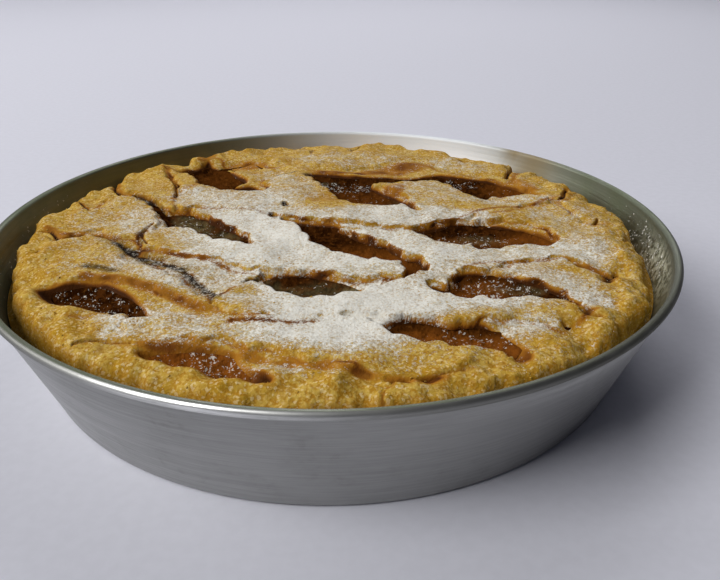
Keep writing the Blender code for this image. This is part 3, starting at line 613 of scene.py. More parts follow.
def streak(x, y, half, points):
    """Soft line through way-points, 0 to 1; it fades from well inside its half width to outside."""
    run = curve_through([(MM * px, MM * py, MM * half) for px, py in points])
    near = in_box(x, y, run, 4 * MM * half)
    amount = np.zeros(x.shape)
    amount[near] = smooth_step(inside_run(x[near], y[near], run), -0.5 * MM * half, 0.8 * MM * half)
    return amount


def streaks(x, y, lines):
    """Strongest of several soft lines at each place: half width, strength, way-points."""
    amount = np.zeros(x.shape)
    for half, strength, points in lines:
        amount = np.maximum(amount, strength * streak(x, y, half, points))
    return amount


def ovals(x, y, patches):
    """Amount left by soft ovals laid over each other, 0 to 1."""
    rest = np.ones(x.shape)
    for cx, cy, long_half, short_half, turn, amount in patches:
        c, s = math.cos(math.radians(turn)), math.sin(math.radians(turn))
        dx, dy = x - MM * cx, y - MM * cy
        u, v = (c * dx + s * dy) / (MM * long_half), (c * dy - s * dx) / (MM * short_half)
        rest = rest * (1 - amount * smooth_step(-np.hypot(u, v), -1.25, -0.55))
    return 1 - rest


def dent(x, y, px, py, radius):
    """Small round hole, 1 at its middle; place and radius in millimetres."""
    away = np.hypot(x - MM * px, y - MM * py) / (MM * radius)
    return np.exp(-away ** 2)


def noise_at(x, y, size, layer):
    """Smooth noise of the given size, about -1 to 1."""
    values = [noise.noise((px / size, py / size, layer)) for px, py in zip(x.ravel(), y.ravel())]
    return np.array(values).reshape(x.shape)


def unevenness(x, y, terms):
    return sum(amount * noise_at(x, y, size, layer) for amount, size, layer in terms)


def nuggets_at(x, y, size):
    """Rounded lumps side by side, 0 between them to 1 on top."""
    values = [noise.voronoi((px / size, py / size, 2.1))[0][0]
              for px, py in zip(x.ravel(), y.ravel())]
    return 1 - np.clip(np.array(values).reshape(x.shape), 0, 1)


def near_bearing(x, y, bearing, low, high):
    """1 towards a bearing in degrees, 0 away from it; low and high are cosines."""
    return smooth_step(np.cos(np.arctan2(y, x) - math.radians(bearing)), low, high)


# --- Shape of the pastry and the filling ---


def ripple(angle, waves):
    return sum(MM * reach * np.sin(count * angle + phase) for count, reach, phase in waves)


def edge_radius(angle):
    """Outline of the baked edge: uneven, with lobes where strips end and notches between."""
    radius = EDGE_RADIUS + ripple(angle, EDGE_WAVES) + ripple(angle, CRUMBLY_WAVES)
    for bearing, out, width in EDGE_LOBES:
        off = np.degrees(np.angle(np.exp(1j * (angle - math.radians(bearing)))))
        radius = radius + MM * out * np.exp(-(off / width) ** 2)
    return radius


def fill_height(x, y):
    """Top of the filling: a low dome with the same waves as in the part."""
    radius = np.hypot(x, y) / EDGE_RADIUS
    waves = np.sin(x / 0.011 + 1.3) * np.cos(y / 0.009) + 0.6 * np.sin((x + y) / 0.006)
    return FILL_TOP + DOME * (1 - radius ** 2) + FILL_WAVE * waves


class Lid:
    """Pastry laid over the filling at given places: its height, and its edges' browning and painted
    shade.

    A low sheet with gaps comes first, then the pieces over it, then grooves and hollows.
    """

    def __init__(self, x, y):
        look = settings("pastry")
        self.pitch, self.depth = look.scallop_pitch, look.scallop_depth
        self.side_share = look.side_share
        self.x, self.y = x, y
        self.from_edge = edge_radius(np.arctan2(y, x)) - np.hypot(x, y)
        self.sheet = SHEET + SHEET_RISE * smooth_step(-self.from_edge, -0.026, -0.014)
        self.brown_and_shade = np.zeros(x.shape)
        self.foot = np.ones(x.shape)
        self.open_gaps()
        for level, side, points in PLATES:
            self.lay(level, side, points)
        self.laid = self.raised.copy()
        self.press()

    def inside(self, points, depth):
        """Which places are near an outline, and how far inside it those lie."""
        outline = closed_through(points)
        near = in_box(self.x, self.y, outline, MARGIN)
        return near, inside_outline(self.x[near], self.y[near], outline, self.pitch, depth)

    def open_gaps(self):
        """The lowest sheet, which slopes into every gap, and how near a gap each place is."""
        cover = np.ones(self.x.shape)
        self.by_gap = np.zeros(self.x.shape)
        for gap in GAPS:
            near, inside = self.inside(gap, 0.0)
            cover[near] = np.minimum(cover[near], smooth_step(-inside, -GAP_IN, GAP_OUT))
            self.by_gap[near] = np.maximum(self.by_gap[near], smooth_step(inside, -BY_GAP, 0.0))
        self.raised = self.sheet * cover

    def lay(self, level, side, points):
        """Lays one piece. Its edge browns where it shows, and painted shade lines its foot below
        it.
        """
        near, inside = self.inside(points, self.depth)
        x, y, below = self.x[near], self.y[near], self.raised[near]
        rounded = np.sin(0.5 * math.pi * np.clip(inside / (MM * side * self.side_share), 0, 1))
        top = rounded * MM * level
        over = top > below
        patches = np.clip(0.55 + 1.1 * noise_at(x, y, PATCH, 21.0), 0.05, 1)
        spots = np.clip(0.72 + 1.1 * noise_at(x, y, SPOT, 22.0), 0.25, 1)
        narrow = smooth_step(inside, EDGE_LINE, OWN_BROWN * spots)
        # edges by a gap are painted darker: browning with painted shade into the gap
        own_edge = (0.30 * patches + 0.80 * spots * self.by_gap[near]) * (1 - narrow)
        # painted shade and browning in a line along the foot, on what lies under the piece
        shade_under_edge = 0.8 * patches * np.exp(-(inside / UNDER_SHADE) ** 2)
        self.brown_and_shade[near] = np.where(over, own_edge, np.maximum(self.brown_and_shade[near], shade_under_edge))
        foot = 1 - smooth_step(inside, -EDGE_LINE, FOOT_REACH)
        self.foot[near] = np.where(over, foot, self.foot[near])
        self.raised[near] = np.maximum(below, top)

    def press(self):
        """Presses grooves and hollows into what is laid."""
        body = np.clip(self.raised / self.sheet, 0, 1)
        self.raised -= MM * streaks(self.x, self.y, GROOVES) * body * self.foot
        for *oval, depth in HOLLOWS:
            self.raised -= MM * depth * body * ovals(self.x, self.y, ((*oval, 1),))

    def height(self):
        """Top of the pastry; in the gaps it dips under the filling."""
        x, y, edge = self.x, self.y, self.from_edge
        height = fill_height(x, y) + self.raised
        height -= SINK * np.clip(1 - self.raised / FULL_BODY, 0, 1)
        uneven = unevenness(x, y, SHOULDER_NOISE) * smooth_step(edge, 0.0, 0.004)
        inward = np.clip((edge + uneven) / EDGE_ROUND, 0, 1)
        height -= EDGE_DROP * (1 - np.sqrt(1 - (1 - inward) ** 2))
        return height + self.relief()

    def relief(self):
        """Lumps, crumbly border, cracks and holes on top of the laid pieces."""
        x, y = self.x, self.y
        relief = unevenness(x, y, SKIN_NOISE)
        border = smooth_step(-self.from_edge, -0.024, -0.008)
        lumpy = 0.25 + 0.75 * near_bearing(x, y, LUMPY_SIDE, 0.0, 0.8)
        relief += border * lumpy * LUMP * (nuggets_at(x, y, LUMP_SIZE) - LUMP_MIDDLE)
        nuggets = nuggets_at(x, y, NUGGET_SIZE) - LUMP_MIDDLE
        relief += border * (0.3 + 0.7 * lumpy) * NUGGET * nuggets
        relief += border * unevenness(x, y, BORDER_NOISE)
        wander = 0.0008 * noise_at(x, y, 0.0045, 8.8)
        for half, depth, points in CRACKS:
            relief -= MM * depth * streak(x + wander, y - wander, half, points)
        for px, py, radius, depth in PITS:
            relief -= MM * depth * dent(x, y, px, py, radius)
        return relief * (0.25 + 0.75 * np.clip(self.raised / FULL_BODY, 0, 1))


def disc_grid(cells):
    """A square grid pulled to a unit disc: near-even cells and a round outline."""
    side = np.linspace(-1, 1, cells + 1)
    u, v = np.meshgrid(side, side)
    reach = np.maximum(np.abs(u), np.abs(v))
    length = np.hypot(u, v)
    shrink = np.divide(reach, length, out=np.ones_like(length), where=length > 0)
    return u * shrink, v * shrink


def outline_order(cells):
    """Grid indices once round the outline, anticlockwise."""
    k = np.arange(cells)
    wide = cells + 1
    return np.concatenate([k, k * wide + cells, cells * wide + cells - k, (cells - k) * wide])


def closed_body(name, x, y, z, rings):
    """Closed mesh: a grid top, then rings (radius, height) under its outline, and a floor."""
    cells = x.shape[0] - 1
    wide = cells + 1
    row, col = np.meshgrid(np.arange(cells), np.arange(cells), indexing="ij")
    a = (row * wide + col).ravel()
    quads = [np.column_stack([a, a + 1, a + wide + 1, a + wide])]
    points = [np.column_stack([x.ravel(), y.ravel(), z.ravel()])]
    upper = outline_order(cells)
    angle = np.arctan2(y.ravel()[upper], x.ravel()[upper])
    start = wide * wide
    for radius, height in rings:
        level = np.full(len(angle), height)
        points.append(np.column_stack([radius * np.cos(angle), radius * np.sin(angle), level]))
        lower = start + np.arange(len(upper))
        quads.append(np.column_stack([lower, np.roll(lower, -1), np.roll(upper, -1), upper]))
        upper = lower
        start += len(upper)
    points.append(np.array([[0, 0, points[-1][0, 2]]]))
    fan = np.column_stack([np.full(len(upper), start), np.roll(upper, -1), upper])
    mesh = bpy.data.meshes.new(name)
    mesh.from_pydata(np.vstack(points).tolist(), [], np.vstack(quads).tolist() + fan.tolist())
    mesh.update()
    return mesh


def wall_radius(height):
    """Outer radius of the tin's straight wall at a height."""
    look = settings("tin")
    top = TIN_HEIGHT - 2 * look.bead - COVE_HEIGHT
    top_radius = RIM_RADIUS - 2 * look.bead + look.sheet - COVE_FLARE
    return BASE_RADIUS + (top_radius - BASE_RADIUS) * (height - FOOT_ROUND) / (top - FOOT_ROUND)


def inner_wall(height):
    """Outer radius of the crust where it lies against the tin."""
    return wall_radius(height) - settings("tin").sheet - WALL_GAP


def filling_relief(x, y):
    """How deep the filling's skin lies between its grains of wheat, in metres."""
    kernels = nuggets_at(x, y * 1.25, KERNEL)
    relief = 0.0011 * (1 - smooth_step(kernels, 0.15, 0.85))
    relief += (0.00040 * (2.6 + noise_at(x, y, 0.0075, 3.3))
               + 0.00012 * (1 + noise_at(x, y, 0.0022, 5.1)))
    return relief * (1 - smooth_step(Lid(x, y).raised, 0.0, 0.0008))


def filling_mesh(name, cells, grow=0.0):
    """The filling's closed body; grown, it is the smooth hollow that the filling lies in."""
    u, v = disc_grid(cells)
    reach = EDGE_RADIUS - FILL_INSET + grow
    x, y = u * reach, v * reach
    z = fill_height(x, y) + grow
    if not grow:
        z = z - filling_relief(x, y)
    floor = settings("tin").sheet + LAYER_GAP + CASE_FLOOR + LAYER_GAP - grow
    rings = ((inner_wall(FILL_WAIST) - CASE_WALL + grow, FILL_WAIST),
             (inner_wall(floor) - CASE_WALL + grow, floor))
    return closed_body(name, x, y, z, rings)


# --- Mesh helpers ---


def show(name, mesh, material):
    item = bpy.data.objects.new(name, mesh)
    bpy.context.scene.collection.objects.link(item)
    mesh.materials.clear()
    mesh.materials.append(material)
    return item


def baked(item):
    """The object with its modifiers applied as a plain mesh."""
    graph = bpy.context.evaluated_depsgraph_get()
    mesh = bpy.data.meshes.new_from_object(item.evaluated_get(graph), preserve_all_data_layers=True,
                                           depsgraph=graph)
    item.modifiers.clear()
    old = item.data
    item.data = mesh
    bpy.data.meshes.remove(old)
    return item


def keep_main_body(item):
    """Drops the loose scraps that a cut leaves."""
    solid = bmesh.new()
    solid.from_mesh(item.data)
    waiting = set(solid.faces)
    bodies = []
    while waiting:
        body = {waiting.pop()}
        front = list(body)
        while front:
            near = {face for edge in front.pop().edges for face in edge.link_faces} - body
            body |= near
            front += near
        waiting -= body
        bodies.append(body)
    bodies.sort(key=len)
    scraps = [face for body in bodies[:-1] for face in body]
    bmesh.ops.delete(solid, geom=scraps, context="FACES")
    solid.to_mesh(item.data)
    solid.free()


def numbers_of(layer, key, columns):
    """One row of numbers for each corner of a mesh."""
    numbers = np.zeros(len(layer) * columns, np.float32)
    layer.foreach_get(key, numbers)
    return numbers.reshape(-1, columns).astype(float)


def points_of(mesh):
    return numbers_of(mesh.vertices, "co", 3)


def normals_of(mesh):
    return numbers_of(mesh.vertex_normals, "vector", 3)


def values_at(mesh, name):
    return numbers_of(mesh.attributes[name].data, "value", 1).ravel()


def paint(mesh, name, values):
    """Stores one number, 0 to 1, at each corner of the mesh."""
    layer = mesh.attributes.get(name) or mesh.attributes.new(name, "FLOAT", "POINT")
    layer.data.foreach_set("value", np.clip(values, 0, 1).astype(np.float32))


def finish_piece(item, node=None):
    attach(item, "root")
    if node:
        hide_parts(node)


# --- Node helpers ---


class Nodes:
    """A node tree that is built with short calls."""

    def __init__(self, tree):
        self.tree = tree

    def feed(self, socket, value):
        """Links an input to another node's output, or sets its value."""
        if isinstance(value, bpy.types.NodeSocket):
            self.tree.links.new(value, socket)
        else:
            socket.default_value = value

    def add(self, kind, inputs=None, **settings_of_node):
        node = self.tree.nodes.new(kind)
        for key, value in settings_of_node.items():
            setattr(node, key, value)
        for key, value in (inputs or {}).items():
            self.feed(node.inputs[key], value)
        return node


class Tree(Nodes):
    """A Geometry Nodes tree with named inputs."""

    def __init__(self, name, inputs):
        super().__init__(bpy.data.node_groups.new(name, "GeometryNodeTree"))
        face = self.tree.interface
        face.new_socket("Geometry", in_out="INPUT", socket_type="NodeSocketGeometry")
        for label, kind in inputs:
            face.new_socket(label, in_out="INPUT", socket_type="NodeSocket" + kind)
        face.new_socket("Geometry", in_out="OUTPUT", socket_type="NodeSocketGeometry")
        self.start = self.tree.nodes.new("NodeGroupInput").outputs
        self.end = self.tree.nodes.new("NodeGroupOutput").inputs

    def close(self, geometry, material):
        """Ends the tree: instances made real and the material set."""
        real = self.add("GeometryNodeRealizeInstances", {"Geometry": geometry})
        dressed = self.add("GeometryNodeSetMaterial",
                           {"Geometry": real.outputs[0], "Material": material})
        self.tree.links.new(dressed.outputs[0], self.end[0])

    def grow_on(self, item, values):
        """Runs the tree on an object and leaves a plain mesh."""
        modifier = item.modifiers.new(self.tree.name, "NODES")
        modifier.node_group = self.tree
        for socket in self.tree.interface.items_tree:
            if socket.in_out == "INPUT" and socket.name in values:
                modifier[socket.identifier] = values[socket.name]
        return baked(item)


class Shade(Nodes):
    """One material's nodes. Patterns are in object space, in metres."""

    def __init__(self, name):
        self.material = bpy.data.materials.new(name)
        self.material.use_nodes = True
        super().__init__(self.material.node_tree)
        self.shader = self.tree.nodes["Principled BSDF"]
        self.place = self.add("ShaderNodeTexCoord").outputs["Object"]

    def noise(self, size, detail=2.0, place=None):
        inputs = {"Vector": place or self.place, "Scale": 1 / size, "Detail": detail}
        return self.add("ShaderNodeTexNoise", inputs).outputs["Fac"]

    def grains(self, size):
        """A random number for each small cell, 0 to 1."""
        inputs = {"Vector": self.place, "Scale": 1 / size}
        cells = self.add("ShaderNodeTexVoronoi", inputs).outputs["Color"]
        return self.add("ShaderNodeSeparateColor", {0: cells}).outputs[0]

    def painted(self, name):
        return self.add("ShaderNodeAttribute", attribute_name=name).outputs["Fac"]

    def math(self, operation, a, b=0.0):
        return self.add("ShaderNodeMath", {0: a, 1: b}, operation=operation).outputs[0]

    def times(self, a, b):
        return self.math("MULTIPLY", a, b)

    def plus(self, a, b):
        return self.math("ADD", a, b)

    def minus(self, a, b):
        return self.math("SUBTRACT", a, b)

    def larger(self, a, b):
        return self.math("MAXIMUM", a, b)

    def step(self, value, low, high, start=0.0, end=1.0):
        """Smooth change from start to end as a value goes from low to high."""
        inputs = {"Value": value, "From Min": low, "From Max": high, "To Min": start, "To Max": end}
        node = self.add("ShaderNodeMapRange", inputs, interpolation_type="SMOOTHSTEP")
        return node.outputs["Result"]

    def mix(self, amount, a, b):
        """Colour that goes from a to b as the amount goes from 0 to 1."""
        return self.add("ShaderNodeMix", {0: amount, 6: a, 7: b}, data_type="RGBA").outputs[2]

    def bump(self, height, distance, below=None):
        inputs = {"Height": height, "Distance": distance, "Strength": 1.0}
        if below:
            inputs["Normal"] = below
        return self.add("ShaderNodeBump", inputs).outputs["Normal"]

    def use(self, **sockets):
        """Joins the shader's inputs: colour, roughness and so on."""
        for key, value in sockets.items():
            self.feed(self.shader.inputs[key.replace("_", " ")], value)
        return self.material


# --- Materials ---


def sugar_fall(shade, amount):
    """Sugar fallen on a place, with clumps, and how far it outweighs each cell's luck."""
    luck = shade.times(shade.plus(shade.grains(0.0005), shade.grains(0.0009)), 0.5)
    clumps = shade.minus(shade.noise(0.0040, 4.0), 0.5)
    fallen = shade.plus(shade.times(amount, 0.92), shade.times(clumps, 0.9))
    return fallen, shade.minus(fallen, luck)


def sugar_cover(shade, amount):
    """How much a powdery layer hides, 0 to 1: solid where much fell, specks where little did."""
    fallen, level = sugar_fall(shade, amount)
    layer = shade.times(shade.step(fallen, 0.1, 0.9, 0.60, 0.96), shade.step(amount, 0.0, 0.06))
    grains = shade.times(shade.step(level, -0.20, 0.16), layer)
    cover = shade.larger(grains, shade.step(fallen, 0.3, 1.1, 0.0, 0.8))
    bald = shade.times(shade.step(shade.grains(0.0006), 0.80, 0.92, 0.0, 0.75),
                       shade.step(amount, 0.9, 1.0, 1.0, 0.35))
    return shade.times(cover, shade.minus(1.0, bald))


def sugar_tone(shade, amount):
    """Icing sugar's colour, duller from one clump to the next where the layer is thin."""
    duller = shade.times(shade.grains(0.0007), shade.grains(0.0011))
    duller = shade.times(shade.step(duller, 0.0, 0.5, 0.0, 0.7),
                         shade.step(amount, 0.85, 1.0, 1.0, 0.3))
    return shade.mix(duller, settings("sugar").white, DULL_SUGAR)


def sugar_specks(shade, amount):
    """Single grains of sugar on a wet surface or on metal, 0 to 1."""
    _, level = sugar_fall(shade, amount)
    return shade.times(shade.step(level, 0.02, 0.14), shade.step(amount, 0.0, 0.06))


def pastry_material():
    """Golden, gritty pastry that browns and burns as painted, with painted shade, under icing
    sugar.
    """
    look = settings("pastry")
    shade = Shade("pastry")
    blotches = shade.noise(0.011, 3.0)
    grit = shade.noise(0.0016, 3.0)
    sand = shade.noise(0.0008)
    colour = shade.mix(shade.step(blotches, 0.36, 0.60), look.golden, look.pale)
    toasted = shade.step(shade.noise(0.006), 0.55, 0.75, 0.0, 0.55)
    colour = shade.mix(toasted, colour, look.toasted)
    colour = shade.mix(shade.step(grit, 0.34, 0.60), GRIT, colour)
    colour = shade.mix(shade.step(sand, 0.50, 0.70, 0.0, 0.45), colour, SAND)
    pale_grains = shade.step(shade.grains(0.0008), 0.80, 0.92, 0.0, 0.5)
    colour = shade.mix(pale_grains, colour, PALE_GRAIN)
    # tone carries browning and painted shade: low slopes, feet of pieces, cracks
    tone = shade.times(shade.painted("brown_and_shade"), shade.step(blotches, 0.25, 0.6, 0.8, 1.2))
    colour = shade.mix(shade.step(tone, 0.0, 0.5), colour, look.toasted)
    colour = shade.mix(shade.step(tone, 0.42, 0.82), colour, look.brown_and_shade)
    colour = shade.mix(shade.step(tone, 0.75, 1.0), colour, look.dark)
    # near black from burns and from painted shade in cracks and holes
    burnt_and_crack_shade = shade.painted("burnt_and_crack_shade")
    colour = shade.mix(burnt_and_crack_shade, colour, look.burnt_and_crack_shade)
    sugar = shade.painted("sugar")
    cover = sugar_cover(shade, sugar)
    white = shade.mix(shade.times(burnt_and_crack_shade, 0.6), sugar_tone(shade, sugar), ASHEN_SUGAR)
    colour = shade.mix(cover, colour, white)
    rough = shade.step(shade.noise(0.005), 0.3, 0.7, 0.58, 0.82)
    rough = shade.larger(rough, shade.times(cover, 0.95))
    normal = shade.bump(grit, 0.00028)
    normal = shade.bump(sand, 0.00018, normal)
    normal = shade.bump(cover, 0.00025, normal)
    return shade.use(Base_Color=colour, Roughness=rough, Normal=normal, Specular_IOR_Level=0.05)


def filling_material():
    """Dark, moist grain filling, painted caramel where lit, with damp and loose sugar."""
    look, sugar = settings("filling"), settings("sugar")
    shade = Shade("filling")
    grains = shade.noise(0.0034, 3.0)
    fine = shade.noise(0.0012, 3.0)
    # painted light and shade: dark is the filling in shade, caramel where it is lit
    colour = shade.mix(shade.painted("caramel"), look.dark, look.caramel)
    colour = shade.mix(shade.step(grains, 0.40, 0.62, 0.0, 0.5), colour, BROWN_GRAIN)
    colour = shade.mix(shade.step(fine, 0.56, 0.72, 0.0, 0.3), colour, AMBER_GRAIN)
    damp = shade.painted("damp")
    cover = sugar_specks(shade, shade.painted("sugar"))
    clumps = shade.step(shade.noise(0.0028, 3.0), 0.35, 0.62, 0.35, 1.0)
    colour = shade.mix(shade.times(shade.times(damp, clumps), 0.7), colour, look.damp)
    colour = shade.mix(shade.times(cover, 0.6), colour, sugar.white)
    rough = shade.plus(shade.step(fine, 0.3, 0.7, 0.32, 0.55), shade.times(damp, 0.4))
    normal = shade.bump(grains, 0.0014)
    normal = shade.bump(fine, 0.0006, normal)
    return shade.use(Base_Color=colour, Roughness=rough, Normal=normal, Specular_IOR_Level=0.0)


def shaded_by(share, colour):
    return tuple(share * channel for channel in colour[:3]) + (1,)


def sugar_material():
    shade = Shade("icing_sugar")
    white = settings("sugar").white
    colour = shade.mix(shade.noise(0.002), white, shaded_by(0.86, white))
    return shade.use(Base_Color=colour, Roughness=0.85)


def crumb_material():
    look = settings("pastry")
    shade = Shade("crumbs")
    colour = shade.mix(shade.step(shade.noise(0.004), 0.35, 0.65), look.golden, look.pale)
    normal = shade.bump(shade.noise(0.0006), 0.0002)
    return shade.use(Base_Color=colour, Roughness=0.8, Normal=normal)


def turned_marks(shade):
    """Fine lines and broader bands that run round the metal, as turning leaves them."""
    x, y, z = shade.add("ShaderNodeSeparateXYZ", {0: shade.place}).outputs
    angle = shade.math("ARCTAN2", y, x)
    radius = shade.math("SQRT", shade.plus(shade.times(x, x), shade.times(y, y)))
    along_profile = shade.plus(z, radius)
    inputs = {0: shade.times(angle, LINE_STRETCH), 1: along_profile, 2: 0.0}
    turned = shade.add("ShaderNodeCombineXYZ", inputs).outputs[0]
    return shade.noise(0.00035, 3.0, turned), shade.noise(0.0016, 2.0, turned)


def tin_material():
    """Worn, turned aluminium with a baked-on film, stains, a painted highlight and painted shade on
    the rim, and a painted reflection.
    """
    look, sugar = settings("tin"), settings("sugar")
    shade = Shade("tin")
    lines, bands = turned_marks(shade)
    smears = shade.noise(0.02, 4.0)
    spots = shade.noise(0.0035)
    dulled = shade.times(shade.step(smears, 0.4, 0.7), shade.step(spots, 0.5, 0.72, 0.4, 1.0))
    # painted highlight on the rim's front, then painted shade on its matt stretches
    colour = shade.mix(shade.painted("painted_highlight"), look.metal, HIGHLIGHT_METAL)
    colour = shade.mix(shade.times(shade.painted("matt_and_shade"), 0.96), colour, SHADED_MATT_METAL)
    colour = shade.mix(shade.step(lines, 0.35, 0.65, 0.0, 0.32), colour, TURNED_LINE)
    colour = shade.mix(shade.step(bands, 0.35, 0.65, 0.0, 0.22), colour, TURNED_BAND)
    colour = shade.mix(shade.times(dulled, 0.3), colour, SMEARED_METAL)
    film = shade.times(shade.painted("film"), shade.step(smears, 0.25, 0.75, 0.65, 1.0))
    colour = shade.mix(film, colour, look.film)
    # painted reflection of the key light on the inner back wall: pale, rougher, less metallic
    painted_reflection = shade.painted("painted_reflection")
    colour = shade.mix(painted_reflection, colour, REFLECTION_METAL)
    mottle = shade.step(shade.noise(0.0022, 4.0), 0.38, 0.62, 0.15, 1.0)
    dust = shade.times(shade.painted("dust"), mottle)
    colour = shade.mix(dust, colour, OLD_DUST)
    stain = shade.painted("stain")
    colour = shade.mix(stain, colour, BAKED_STAIN)
    cover = sugar_specks(shade, shade.painted("sugar"))
    colour = shade.mix(cover, colour, sugar.white)
    rough = shade.plus(shade.step(bands, 0.3, 0.7, 0.30, 0.42), shade.times(dulled, 0.12))
    rough = shade.plus(rough, shade.times(film, 0.12))
    rough = shade.plus(rough, shade.times(cover, 0.5))
    matt_and_shade = shade.painted("matt_and_shade")
    rough = shade.plus(rough, shade.times(shade.plus(painted_reflection, matt_and_shade), 0.16))
    rough = shade.plus(rough, shade.times(matt_and_shade, 0.14))
    dull = shade.larger(shade.times(painted_reflection, 0.7), dust)
    metal = shade.minus(1.0, shade.larger(dull, shade.larger(cover, stain)))
    normal = shade.bump(lines, 0.00003)
    normal = shade.bump(bands, 0.00006, normal)
    normal = shade.bump(cover, 0.0003, normal)
    return shade.use(Base_Color=colour, Roughness=rough, Metallic=metal, Normal=normal)


# --- Tin ---


def arc(centre_r, centre_z, radius, start, end, steps):
    """Points of a round stretch of a turned profile, angles in degrees from +r."""
    angles = np.radians(np.linspace(start, end, steps + 1))
    return [(centre_r + radius * math.cos(a), centre_z + radius * math.sin(a)) for a in angles]


def tin_profile():
    """Closed section of the tin from the underside's middle, up outside and down inside."""
    look = settings("tin")
    bead_r, bead_z = RIM_RADIUS - look.bead, TIN_HEIGHT - look.bead
    cove_foot = TIN_HEIGHT - 2 * look.bead - COVE_HEIGHT
    points = [(0.0, 0.0), (FLOOR_RING, 0.0)]
    points += arc(BASE_RADIUS - FOOT_ROUND, FOOT_ROUND, FOOT_ROUND, -90, 0, 8)
    points += [(wall_radius(z), z) for z in np.linspace(WALL_FROM, cove_foot, 6)]
    for t in (0.2, 0.4, 0.6, 0.8):
        flare = COVE_FLARE * t ** COVE_BEND
        points.append((wall_radius(cove_foot) + flare, cove_foot + t * COVE_HEIGHT))
    points += arc(bead_r, bead_z, look.bead, BEAD_START, 180, 22)
    points += [(wall_radius(z) - look.sheet, z) for z in np.linspace(cove_foot, WALL_DOWN_TO, 8)]
    inner_round = FOOT_ROUND - look.sheet / 2
    corner_z = look.sheet + inner_round
    corner_r = wall_radius(corner_z) - look.sheet - inner_round
    points += arc(corner_r, corner_z, inner_round, 0, -90, 5)
    points += [(FLOOR_RING, look.sheet), (0.0, look.sheet)]
    return points


def turning_tree(material):
    """Tree that turns a profile, drawn in x and z, round the upright axis."""
    tree = Tree("turned sheet metal", (("Sides", "Int"),))
    section = tree.add("GeometryNodeMeshToCurve", {"Mesh": tree.start["Geometry"]})
    where = tree.add("GeometryNodeInputPosition").outputs[0]
    parts = tree.add("ShaderNodeSeparateXYZ", {0: where})
    down = tree.add("ShaderNodeMath", {0: parts.outputs["Z"], 1: -1.0}, operation="MULTIPLY")
    flat = tree.add("ShaderNodeCombineXYZ", {0: parts.outputs["X"], 1: down.outputs[0]})
    laid = tree.add("GeometryNodeSetPosition",
                    {"Geometry": section.outputs[0], "Position": flat.outputs[0]})
    circle = tree.add("GeometryNodeCurvePrimitiveCircle",
                      {"Resolution": tree.start["Sides"], "Radius": 1.0})
    small = tree.add("GeometryNodeSetPosition", {"Geometry": circle.outputs[0]})
    on_circle = tree.add("GeometryNodeInputPosition").outputs[0]
    shrink = tree.add("ShaderNodeVectorMath", {0: on_circle, "Scale": AXIS_SHARE},
                      operation="SCALE")
    tree.feed(small.inputs["Position"], shrink.outputs[0])
    turned = tree.add("GeometryNodeCurveToMesh",
                      {"Curve": small.outputs[0], "Profile Curve": laid.outputs[0]})
    tree.close(turned.outputs[0], material)
    return tree


def make_tin():
    """Turns the profile round the axis, then paints film, stains and spilt sugar on it."""
    profile = tin_profile()
    mesh = bpy.data.meshes.new("tin_shell")
    edges = [(k, k + 1) for k in range(len(profile) - 1)]
    mesh.from_pydata([(r, 0.0, z) for r, z in profile], edges, [])
    material = tin_material()
    item = show("tin_shell", mesh, material)
    turning_tree(material).grow_on(item, {"Sides": settings("tin").sides})
    close_poles(item.data)
    paint_tin(item.data)
    finish_piece(item, "tin")


def close_poles(mesh):
    """Closes the poles of a turned shell and turns its faces outwards."""
    solid = bmesh.new()
    solid.from_mesh(mesh)
    for vert in solid.verts:
        if math.hypot(vert.co.x, vert.co.y) < POLE_REACH:
            vert.co.x = vert.co.y = 0.0
    bmesh.ops.remove_doubles(solid, verts=solid.verts, dist=WELD)
    bmesh.ops.recalc_face_normals(solid, faces=solid.faces)
    solid.to_mesh(mesh)
    solid.free()
    mesh.shade_smooth()


def around(bearing, stretch_of_tin):
    """1 at the middle of a stretch round the tin, falling off to either side."""
    middle, half = stretch_of_tin
    return np.exp(-((bearing - middle) / half) ** 2)


